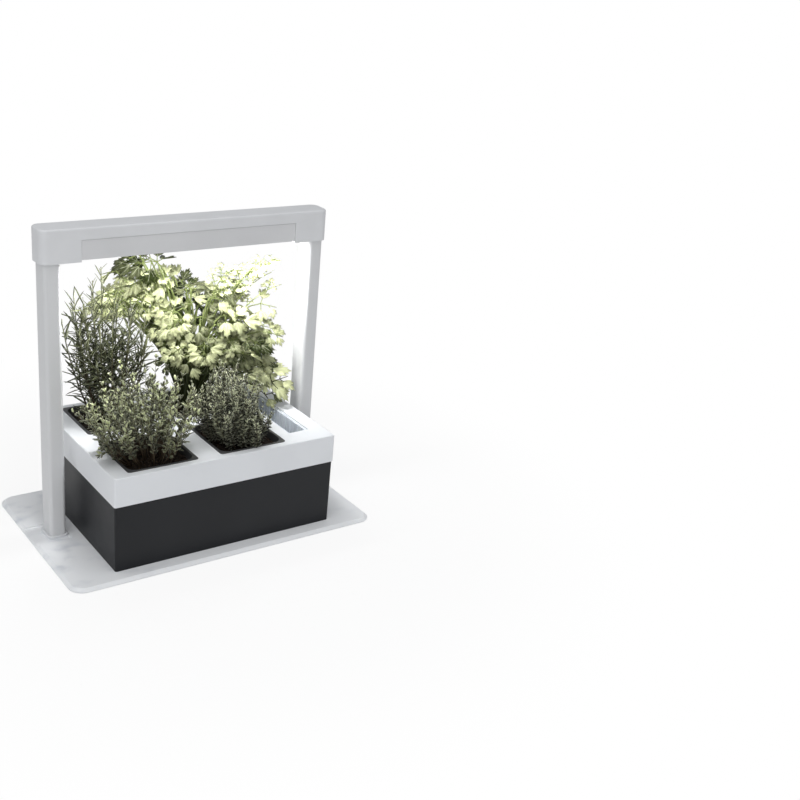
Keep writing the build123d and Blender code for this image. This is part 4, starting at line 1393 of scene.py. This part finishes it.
@dataclass
class LemonThyme(Herb):
    """A loose mound of wiry stems with pairs of small pale-edged leaves."""

    fan: Fan = Fan(crown_radius=0.036, height=0.124, lean=(-0.008, -0.002), reach=(0.090, 0.066), sprigs=26,
                   edge_drop=0.42)
    girth: float = 0.0120
    scatter: Place = (0.35, 0.6, 0.8)
    foot_depth: float = 0.001
    stems_per_sprig: int = 4
    stem_radii: Span = (0.0007, 0.0003)
    bare: float = 0.30
    bare_change: float = 0.15
    leaf_length: float = 0.0096
    leaf_width: float = 0.0046
    leaf_folds: Sequence[float] = (0.06, 0.12, 0.2)
    leaf_thickness: float = 0.05
    leaf_pitch: float = 0.0066
    leaf_angles: Span = (45, 80)
    leaf_sizes: Span = (0.7, 1.15)
    leaf_rise: float = 0.15
    leaf_gap: float = 0.0005
    face_rise: float = 0.4
    leaves_round: int = 2
    tip_leaves: int = 4
    tip_from: float = 0.95
    whorl_turn: float = math.pi / 2
    turn_change: float = 0.4
    closes: Span = (0.8, 0.45)
    shrinks: Span = (0.8, 0.25)
    stray_foot: Span = (-0.034, -0.016)
    stray_tip: Place = (-0.080, -0.020, 0.030)
    stray_shifts: Sequence[float] = (-0.006, 0.0, 0.007)
    stray_fan: Place = (0.6, 1.0, 0.4)
    stray_lift: float = 0.004
    stray_arch: float = 0.030
    shade: float = 0.56
    leaf_finish: Greenery = Greenery((0.006, 0.009, 0.002), (0.80, 0.86, 0.48), rim=(0.94, 0.95, 0.74),
                                     rim_edges=(0.45, 0.98), rim_share=0.45)
    stem_finish: Stalk = Stalk((0.10, 0.07, 0.045), (0.22, 0.21, 0.13), turns_green=(0.15, 0.22))

    def grow(self) -> bpy.types.Object:
        """Grows the mound and the one sprig that strays over the rim.

        Returns:
            The piece.
        """
        shapes = [blade(1.0, self.leaf_width / self.leaf_length, fold, self.leaf_thickness)
                  for fold in self.leaf_folds]
        foliage = self.mound(shapes)
        stray = self.root + Vector(self.stray_tip)
        west, south = self.stray_foot
        east, north, up = self.stray_fan
        for shift in self.stray_shifts:
            foot = self.root + Vector((west, south + shift, 0))
            tip = stray + Vector((shift * east, shift * north, self.stray_lift + shift * up))
            bend = foot.lerp(tip, 0.5) + Vector((0, 0, self.stray_arch))
            self.stem(foliage, shapes, Shoot(foot, bend, tip), self.bare)
        return self.dress(foliage, {"lemon_thyme_leaves": self.leaf_finish,
                                    "lemon_thyme_stems": self.stem_finish})

    def mound(self, shapes: Sequence[Shape]) -> Foliage:
        """Grows the stems of every sprig.

        Args:
            shapes: The leaves that they pick from.

        Returns:
            What has grown.
        """
        foliage = Foliage()
        for shoot in self.fan.shoots(self.root):
            # each sprig is painted with its own share of light
            self.sprig_light = self.chance.uniform(*self.sprig_lights)
            for _ in range(self.stems_per_sprig):
                beside = self.beside(shoot)
                self.stem(foliage, shapes, beside, self.bare + self.bare_change * self.chance.random())
        return foliage

    def beside(self, shoot: Shoot) -> Shoot:
        """A thinner stem beside a main sprig.

        Args:
            shoot: The main sprig's curve.

        Returns:
            The stem's curve, lowered until it is free.
        """
        foot, bend, tip = (
            place + Vector([self.chance.gauss(0, self.girth * amount) for _ in range(3)])
            for place, amount in zip((shoot.foot, shoot.bend, shoot.tip), self.scatter))
        foot.z = self.root.z - self.foot_depth
        return self.fitted(Shoot(foot, bend, tip))

    def stem(self, foliage: Foliage, shapes: Sequence[Shape], shoot: Shoot, bare: float) -> None:
        """One stem with crossed pairs of leaves and a tuft at its tip.

        Args:
            foliage: What it is added to.
            shapes: The leaves that it picks from.
            shoot: Its curve.
            bare: The share of it that has no leaves.
        """
        chance = self.chance
        foliage.stem(shoot, self.stem_radii, steps=4, sides=4)
        turn = chance.uniform(0, math.tau)
        for t, along, across in shoot.stations(bare, self.leaf_pitch):
            turn += self.whorl_turn + chance.uniform(-self.turn_change, self.turn_change)
            leaves = self.leaves_round if t < self.tip_from else self.tip_leaves
            for k in range(leaves):
                away = turned(across, turn + math.tau * k / leaves)
                angle = math.radians(chance.uniform(*self.leaf_angles) * closing(t, *self.closes))
                direction, face = opened(along, away, angle)
                direction = (direction + Vector((0, 0, self.leaf_rise))).normalized()
                foot = shoot.at(t) + away * self.leaf_gap
                size = self.leaf_length * chance.uniform(*self.leaf_sizes) * closing(t, *self.shrinks)
                if self.free(foot + direction * size):
                    face = (face + Vector((0, 0, self.face_rise))).normalized()
                    foliage.leaf(chance.choice(shapes), foot, direction, face, size, self.lit(t))


@dataclass
class Thyme(LemonThyme):
    """Many upright stems like small bottle brushes, darker and finer than its neighbour."""

    fan: Fan = Fan(crown_radius=0.034, height=0.113, lean=(-0.008, -0.002), reach=(0.062, 0.056), sprigs=24,
                   edge_drop=0.36, right_drop=0.46)
    girth: float = 0.0130
    bare: float = 0.10
    bare_change: float = 0.12
    leaf_length: float = 0.0082
    leaf_width: float = 0.0030
    leaf_pitch: float = 0.0040
    leaf_angles: Span = (40, 82)
    leaf_sizes: Span = (0.75, 1.2)
    leaves_round: int = 4
    whorl_turn: float = 0.8
    turn_change: float = 0.3
    closes: Span = (0.75, 0.6)
    shrinks: Span = (0.75, 0.3)
    shade: float = 0.52
    leaf_finish: Greenery = Greenery((0.006, 0.008, 0.003), (0.88, 0.91, 0.62), rim=(0.95, 0.96, 0.78),
                                     rim_edges=(0.5, 1.0), rim_share=0.4)
    stem_finish: Stalk = Stalk((0.07, 0.05, 0.035), (0.14, 0.13, 0.085), turns_green=(0.15, 0.22))

    def grow(self) -> bpy.types.Object:
        """Grows the upright stems.

        Returns:
            The piece.
        """
        foliage = self.mound([bud(1.0, self.leaf_width / self.leaf_length)])
        return self.dress(foliage, {"thyme_leaves": self.leaf_finish, "thyme_stems": self.stem_finish})

    def stem(self, foliage: Foliage, shapes: Sequence[Shape], shoot: Shoot, bare: float) -> None:
        """One stem with whorls of tiny leaves that close to a cone at its tip.

        Args:
            foliage: What it is added to.
            shapes: The one leaf that it has.
            shoot: Its curve.
            bare: The share of it that has no leaves.
        """
        chance = self.chance
        foliage.stem(shoot, self.stem_radii, steps=4, sides=4)
        turn = chance.uniform(0, math.tau)
        for t, along, across in shoot.stations(bare, self.leaf_pitch):
            turn += self.whorl_turn
            for k in range(self.leaves_round):
                side = turn + math.tau * k / self.leaves_round
                side += chance.uniform(-self.turn_change, self.turn_change)
                angle = math.radians(chance.uniform(*self.leaf_angles) * closing(t, *self.closes))
                direction, face = opened(along, turned(across, side), angle)
                size = self.leaf_length * chance.uniform(*self.leaf_sizes) * closing(t, *self.shrinks)
                foot = shoot.at(t)
                if self.free(foot + direction * size):
                    foliage.leaf(shapes[0], foot, direction, face.normalized(), size, self.lit(t))


@dataclass(frozen=True)
class Tuft:
    """Leaves that end close together: their middle, measured from the soil's, and how they are, with a tone
    of painted light and shade.
    """

    middle: Place
    spread: Place
    leaves: int
    radius: float
    # tone: how brightly the leaves are painted, as painted light and shade
    tone: float


@dataclass(frozen=True)
class LeafletSeat:
    """Where a leaflet sits on the axis of a divided leaf, as shares of the leaf's radius."""

    start: float
    degrees: float
    gap: float
    size: float


@dataclass
class Parsley(Herb):
    """Long stalks from one crown, each with a divided leaf of lobed leaflets, and a few thin sprays."""

    variants: int = 6
    waves: Span = (0.03, 0.07)
    droops: Span = (0.05, 0.22)
    cups: Span = (0.02, 0.16)
    stalk_radius: float = 0.0016
    stalk_taper: Span = (1.35, 0.7)
    axis_taper: Span = (0.55, 0.35)
    crown: Span = (-0.008, 0.008)
    foot_depth: float = 0.001
    foot_share: float = 0.07
    bend_share: Span = (0.3, 0.9)
    bend_heights: Span = (0.9, 0.5)
    arch: float = 0.085
    west_from: float = -0.050
    west_bend: float = 0.66
    facing: Span = (-0.4, -0.9)
    front_leans: Span = (0.3, 1.3)
    out_leans: Span = (0, 0.6)
    wander: float = 0.4
    nod: float = -0.3
    tip_share: float = 0.7
    axis_length: float = 0.9
    seats: Sequence[LeafletSeat] = (
        LeafletSeat(0.9, 0, 0.0, 0.95), LeafletSeat(0.45, 50, 0.16, 0.74), LeafletSeat(0.45, -50, 0.16, 0.74),
        LeafletSeat(0.0, 76, 0.34, 0.78), LeafletSeat(0.0, -76, 0.34, 0.78))
    seat_turn: float = 12
    seat_leans: Span = (-0.3, 0.12)
    seat_tilt: float = 0.35
    leaf_sizes: Span = (0.85, 1.25)
    leaflet_sizes: Span = (0.85, 1.1)
    leaflet_width: float = 0.6
    leaflet_overlap: float = 0.1
    # the leaves' tones are painted light and shade, up to the brightest for leaves in full light
    brightest: float = 1.25
    tone_change: float = 0.28
    leaflet_tone_change: float = 0.15
    side_gap: float = 0.105
    front_gap: float = 0.006
    west_gap: float = -0.030
    east_gap: float = 0.106
    tufts: Sequence[Tuft] = (
        Tuft((-0.076, 0.053, 0.237), (0.016, 0.005, 0.006), 5, 0.032, -0.25),
        Tuft((-0.114, 0.057, 0.200), (0.014, 0.005, 0.012), 6, 0.026, 0.70),
        Tuft((-0.074, 0.053, 0.204), (0.026, 0.006, 0.010), 8, 0.028, 1.20),
        Tuft((-0.006, 0.034, 0.198), (0.010, 0.010, 0.006), 2, 0.028, -0.10),
        Tuft((-0.110, 0.055, 0.176), (0.022, 0.005, 0.013), 14, 0.028, 1.25),
        Tuft((-0.062, 0.044, 0.172), (0.026, 0.010, 0.014), 11, 0.028, 1.00),
        Tuft((-0.046, 0.004, 0.150), (0.016, 0.014, 0.018), 15, 0.027, 0.66),
        Tuft((0.026, 0.010, 0.166), (0.034, 0.018, 0.014), 11, 0.028, 0.42),
        Tuft((0.030, -0.018, 0.132), (0.034, 0.018, 0.018), 12, 0.029, 0.30),
        Tuft((0.012, -0.038, 0.102), (0.018, 0.008, 0.010), 6, 0.027, 0.28),
        Tuft((0.046, -0.044, 0.102), (0.018, 0.008, 0.012), 7, 0.028, 0.35),
        Tuft((0.082, -0.016, 0.148), (0.026, 0.016, 0.014), 7, 0.028, 0.46),
        Tuft((0.106, -0.030, 0.120), (0.024, 0.018, 0.018), 6, 0.033, 0.45),
        Tuft((0.136, -0.056, 0.078), (0.018, 0.010, 0.020), 6, 0.035, 0.63),
        Tuft((0.134, -0.046, 0.108), (0.014, 0.010, 0.014), 4, 0.028, 0.21),
        Tuft((0.046, -0.055, 0.080), (0.012, 0.004, 0.010), 4, 0.030, 0.66),
        Tuft((0.080, -0.056, 0.074), (0.014, 0.004, 0.012), 5, 0.031, 0.63),
        Tuft((0.130, -0.062, 0.040), (0.010, 0.006, 0.008), 3, 0.024, 0.28),
        Tuft((-0.050, -0.014, 0.092), (0.008, 0.006, 0.010), 2, 0.022, 0.35),
        Tuft((0.066, -0.040, 0.106), (0.026, 0.014, 0.016), 6, 0.030, 0.28),
        Tuft((0.034, 0.050, 0.128), (0.056, 0.014, 0.020), 9, 0.028, 0.22),
    )
    sprays: Sequence[Place] = (
        (0.130, -0.002, 0.243), (0.141, -0.017, 0.197), (0.046, 0.001, 0.214), (0.104, -0.003, 0.224),
        (0.072, -0.006, 0.204), (0.124, -0.013, 0.218))
    spray_taper: Span = (1.0, 0.4)
    spray_part: Span = (0.66, 0.34)
    spray_leaves: int = 6
    spray_turn: float = 0.7
    spray_opening: float = 1.3
    spray_leaf: float = 0.0135
    spray_leaf_sizes: Span = (0.8, 1.2)
    spray_leaf_room: float = 1.6
    spray_leaf_taper: Span = (0.4, 0.3)
    spray_leaf_stalks: Span = (0.008, 0.016)
    spray_leans: Span = (0.3, 1.0)
    # the sprays' tones are painted light
    spray_tones: Span = (0.95, 1.2)
    leaf_finish: Greenery = Greenery((0.026, 0.037, 0.006), (0.77, 0.80, 0.46), rim=(0.86, 0.88, 0.64),
                                     rim_edges=(0.5, 1.0), rim_share=0.4, roughness=0.34, vein_depth=0.0002)
    stalk_finish: Stalk = Stalk((0.030, 0.038, 0.011), (0.26, 0.31, 0.11), turns_green=(0.19, 0.31))

    def grow(self) -> bpy.types.Object:
        """Grows every tuft of leaves and the sprays.

        Returns:
            The piece.
        """
        chance = self.chance
        shapes = [Leaflet(wave=chance.uniform(*self.waves), droop=chance.uniform(*self.droops),
                          cup=chance.uniform(*self.cups)).shape(chance) for _ in range(self.variants)]
        foliage = Foliage()
        for tuft in self.tufts:
            for _ in range(tuft.leaves):
                end = Vector(tuft.middle) + Vector([chance.gauss(0, wide) for wide in tuft.spread])
                # each leaf's painted light and shade, from its tuft's
                tone = self.kept(tuft.tone + chance.gauss(0, self.tone_change))
                self.stalk(foliage, shapes, end, tuft.radius * chance.uniform(*self.leaf_sizes), tone)
        for end in self.sprays:
            if self.free(self.root + Vector(end)):
                self.spray(foliage, shapes, Vector(end))
        return self.dress(foliage, {"parsley_leaves": self.leaf_finish, "parsley_stalks": self.stalk_finish})

    def kept(self, tone: float) -> float:
        """A tone kept between dark and the brightest."""
        return min(self.brightest, max(0.0, tone))

    def taper(self, shares: Span) -> Span:
        """The radii of a stalk at its two ends, as shares of the thickest stalk's."""
        return self.stalk_radius * shares[0], self.stalk_radius * shares[1]

    def free(self, point: Vector) -> bool:
        """Whether a leaf may reach a point, also beside the other three plants.

        Args:
            point: The point, in the planter's frame.

        Returns:
            Whether it may.
        """
        if point.x < self.west_gap and point.y < self.side_gap:
            return False
        if point.y < self.front_gap and point.x < self.east_gap:
            return False
        return super().free(point)

    def rising(self, end: Vector) -> Shoot:
        """The curve of a stalk: steep out of the crown, then arching over.

        Args:
            end: Where it ends, measured from the middle of the soil.

        Returns:
            The curve.
        """
        chance = self.chance
        away = Vector((end.x, end.y, 0))
        lean, spread = self.crown
        shift = Vector((chance.gauss(lean, spread), chance.gauss(0, spread), -self.foot_depth))
        foot = self.root + away * self.foot_share + shift
        east, north = self.bend_share
        high, low = self.bend_heights
        if end.x < self.west_from:
            height = end.z * self.west_bend
        else:
            height = max(end.z * high, end.z * low + self.arch)
        bend = self.root + Vector((end.x * east, end.y * north, height))
        return Shoot(foot, bend, self.root + end)

    def stalk(self, foliage: Foliage, shapes: Sequence[Shape], end: Vector, radius: float,
              tone: float) -> None:
        """One stalk with its divided leaf.

        Args:
            foliage: What it is added to.
            shapes: The leaflets that it picks from.
            end: The leaf's middle, measured from the middle of the soil.
            radius: The leaf's radius.
            tone: From 0, dark, to 1, bright.
        """
        chance = self.chance
        heading = Vector((end.x, end.y, 0)).normalized()
        middle = self.root + end
        if not self.free(middle) or not self.free(middle + heading * radius * self.tip_share):
            return
        front = Vector((*self.facing, 0)) * chance.uniform(*self.front_leans)
        face = (heading * chance.uniform(*self.out_leans) + Vector((0, 0, 1)) + front).normalized()
        forward = heading + Vector((chance.gauss(0, self.wander), chance.gauss(0, self.wander), self.nod))
        forward = (forward - face * face.dot(forward)).normalized()
        shoot = self.rising(end - forward * radius * 0.5)
        foliage.stem(shoot, self.taper(self.stalk_taper), steps=8, sides=6)
        self.leaf(foliage, shapes, shoot.tip, forward, face, radius, tone)

    def leaf(self, foliage: Foliage, shapes: Sequence[Shape], fork: Vector, forward: Vector, face: Vector,
             radius: float, tone: float) -> None:
        """A divided leaf of five leaflets.

        Args:
            foliage: What it is added to.
            shapes: The leaflets that it picks from.
            fork: Where it leaves its stalk.
            forward: Where its axis points.
            face: Where its face points.
            radius: The length of its axis, nearly.
            tone: From 0, dark, to 1, bright.
        """
        chance = self.chance
        side = forward.cross(face)
        thin = self.taper(self.axis_taper)
        end = fork + forward * radius * self.axis_length
        foliage.stem(Shoot(fork, fork.lerp(end, 0.5), end), thin, steps=2)
        for seat in self.seats:
            turn = math.radians(seat.degrees + chance.uniform(-self.seat_turn, self.seat_turn))
            lean = face * chance.uniform(*self.seat_leans)
            direction = (forward * math.cos(turn) + side * math.sin(turn) + lean).normalized()
            branch = fork + forward * radius * seat.start
            foot = branch + direction * radius * seat.gap
            long = radius * seat.size * chance.uniform(*self.leaflet_sizes)
            tilt = (face + side * chance.uniform(-self.seat_tilt, self.seat_tilt)).normalized()
            across = direction.cross(tilt).normalized() * long * self.leaflet_width
            middle = foot + direction * long * self.leaflet_width
            corners = (foot, foot + direction * long, middle + across, middle - across)
            if not all(self.free(corner) for corner in corners):
                continue
            change = self.leaflet_tone_change
            foliage.leaf(chance.choice(shapes), foot, direction, tilt, long,
                         self.kept(tone + chance.uniform(-change, change)))
            if seat.gap:
                inside = foot + direction * long * self.leaflet_overlap
                foliage.stem(Shoot(branch, branch.lerp(foot, 0.5), inside), thin, steps=2)

    def spray(self, foliage: Foliage, shapes: Sequence[Shape], end: Vector) -> None:
        """A thin stalk with small leaves along its last part.

        Args:
            foliage: What it is added to.
            shapes: The leaflets that it picks from.
            end: Its end, measured from the middle of the soil.
        """
        chance = self.chance
        shoot = self.rising(end)
        foliage.stem(shoot, self.taper(self.spray_taper), steps=10)
        start, part = self.spray_part
        last = self.spray_leaves - 1
        for i in range(self.spray_leaves):
            t = start + part * i / last
            along = shoot.along(t)
            turn = math.pi * i + chance.uniform(-self.spray_turn, self.spray_turn)
            away = turned(square_to(along), turn) * (0.0 if i == last else 1.0)
            direction = (along + away * self.spray_opening).normalized()
            foot = shoot.at(t)
            fork = foot + direction * chance.uniform(*self.spray_leaf_stalks)
            front = Vector((*self.facing, 0)) * chance.uniform(*self.spray_leans)
            face = (Vector((0, 0, 1)) + front).normalized()
            forward = (direction - face * face.dot(direction)).normalized()
            if self.free(fork + forward * self.spray_leaf * self.spray_leaf_room):
                small = Shoot(foot, foot.lerp(fork, 0.5), fork)
                foliage.stem(small, self.taper(self.spray_leaf_taper), steps=2)
                self.leaf(foliage, shapes, fork, forward, face,
                          self.spray_leaf * chance.uniform(*self.spray_leaf_sizes),
                          chance.uniform(*self.spray_tones))


@dataclass
class SoilBed:
    """The loose surface of the soil in one pot: an uneven skin with crumbs on it."""

    pot: str
    body: str
    seed: int
    cells: int = 22
    unevenness: float = 0.0035
    crumbs: int = 150
    crumb_sizes: Span = (0.0012, 0.0042)
    crumb_tilt: float = 0.4
    border: float = 0.0008
    edge_lift: float = 0.0002
    skin: float = 0.001

    def lay(self, material: bpy.types.Material) -> bpy.types.Object:
        """Makes the surface on top of the pot's soil.

        Args:
            material: The compost's finish.

        Returns:
            The piece.
        """
        chance = random.Random(self.seed)
        low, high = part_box(f"soil_{self.pot}")
        foliage = Foliage()
        west, east = low.x + self.border, high.x - self.border
        south, north = low.y + self.border, high.y - self.border
        n = self.cells
        top = [(west + (east - west) * i / n, south + (north - south) * j / n,
                high.z + (self.unevenness * chance.random() if 0 < i < n and 0 < j < n else self.edge_lift))
               for j in range(n + 1) for i in range(n + 1)]
        count = len(top)
        points = top + [(x, y, high.z - self.skin) for x, y, _ in top]
        faces = []
        for j in range(n):
            for i in range(n):
                a = j * (n + 1) + i
                quad = (a, a + 1, a + n + 2, a + n + 1)
                faces += [quad, tuple(k + count for k in reversed(quad))]
        ring = [i for i in range(n + 1)] + [j * (n + 1) + n for j in range(1, n + 1)]
        ring += [n * (n + 1) + i for i in range(n - 1, -1, -1)] + [j * (n + 1) for j in range(n - 1, 0, -1)]
        faces += [(b, a, a + count, b + count) for a, b in zip(ring, ring[1:] + ring[:1])]
        foliage.take(np.array(points), faces, np.zeros(len(points)))
        lump = self.lump()
        for _ in range(self.crumbs):
            size = chance.uniform(*self.crumb_sizes)
            place = Vector((chance.uniform(west + size, east - size),
                            chance.uniform(south + size, north - size), high.z + self.unevenness * 0.5))
            heading = [chance.gauss(0, spread) for spread in (1, 1, self.crumb_tilt)]
            along = Vector(heading).normalized()
            up = Vector((chance.gauss(0, 1), chance.gauss(0, 1), chance.gauss(0, 1)))
            foliage.leaf(lump, place, along, up, size, chance.random())
        piece = foliage.piece(f"soil_top_{self.pot}", (material,))
        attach(piece, self.body)
        return piece

    @staticmethod
    def lump() -> Shape:
        """An uneven crumb with twenty faces, one in radius.

        Returns:
            The crumb.
        """
        golden, edge_limit, corners = (1 + math.sqrt(5)) / 2, 1.1, 12
        points = []
        for a, b in ((-1, golden), (1, golden), (-1, -golden), (1, -golden)):
            points += [(a, b, 0), (0, a, b), (b, 0, a)]
        points = np.array(points, float)
        points /= np.linalg.norm(points, axis=1)[:, None]
        faces = []
        for i, j, k in combinations(range(corners), 3):
            if any(np.linalg.norm(points[a] - points[b]) >= edge_limit for a, b in ((i, j), (j, k), (i, k))):
                continue
            outward = np.dot(np.cross(points[j] - points[i], points[k] - points[i]), points[i])
            faces.append((i, j, k) if outward > 0 else (i, k, j))
        smallest, change = 0.7, 0.5
        squeeze = np.array([smallest + change * ((i * 7) % 5) / 4 for i in range(corners)])[:, None]
        return Shape(points * squeeze, faces, np.zeros(corners))


class PlanterFrame:
    """The carried-over pieces of the planter, each given the finish of its slot."""

    def dress(self) -> dict[str, bpy.types.Material]:
        """Gives every piece of the frame its finish.

        Returns:
            The finishes by slot name.
        """
        made = {finish.name: finish.value.material(finish.name) for finish in Finish}
        for row in frame["record"]["subparts"]:
            slot, node = row["material_slot"], row["node"]
            if slot not in made:
                continue
            mesh = frame["nodes"][node].data
            mesh.materials.clear()
            mesh.materials.append(made[slot])
            log.info("%s is finished as %s", node, slot)
        return made


def main() -> None:
    """Builds the scene in order."""
    logging.basicConfig(level=logging.INFO, format="%(name)s: %(message)s")
    studio = Studio()
    studio.camera()
    studio.floor()
    studio.surroundings()
    studio.lights()
    view = bpy.context.scene.view_settings
    view.view_transform = "Standard"
    finishes = PlanterFrame().dress()
    herbs = (
        Rosemary("rosemary", "rear_left", seed=11, plan=Plan(-0.190, -0.036, 0.008, 0.101)),
        Parsley("parsley", "rear_right", seed=23, plan=Plan(-0.125, 0.192, -0.035, 0.1525)),
        LemonThyme("lemon_thyme", "front_left", seed=5, plan=Plan(-0.195, -0.026, -0.150, 0.002)),
        Thyme("thyme", "front_right", seed=7, plan=Plan(-0.021, 0.100, -0.135, 0.000)),
    )
    for herb in herbs:
        herb.grow()
        SoilBed(herb.pot, f"{herb.name}_pot", herb.seed).lay(finishes["potting_soil"])


if __name__ == "__main__":
    main()
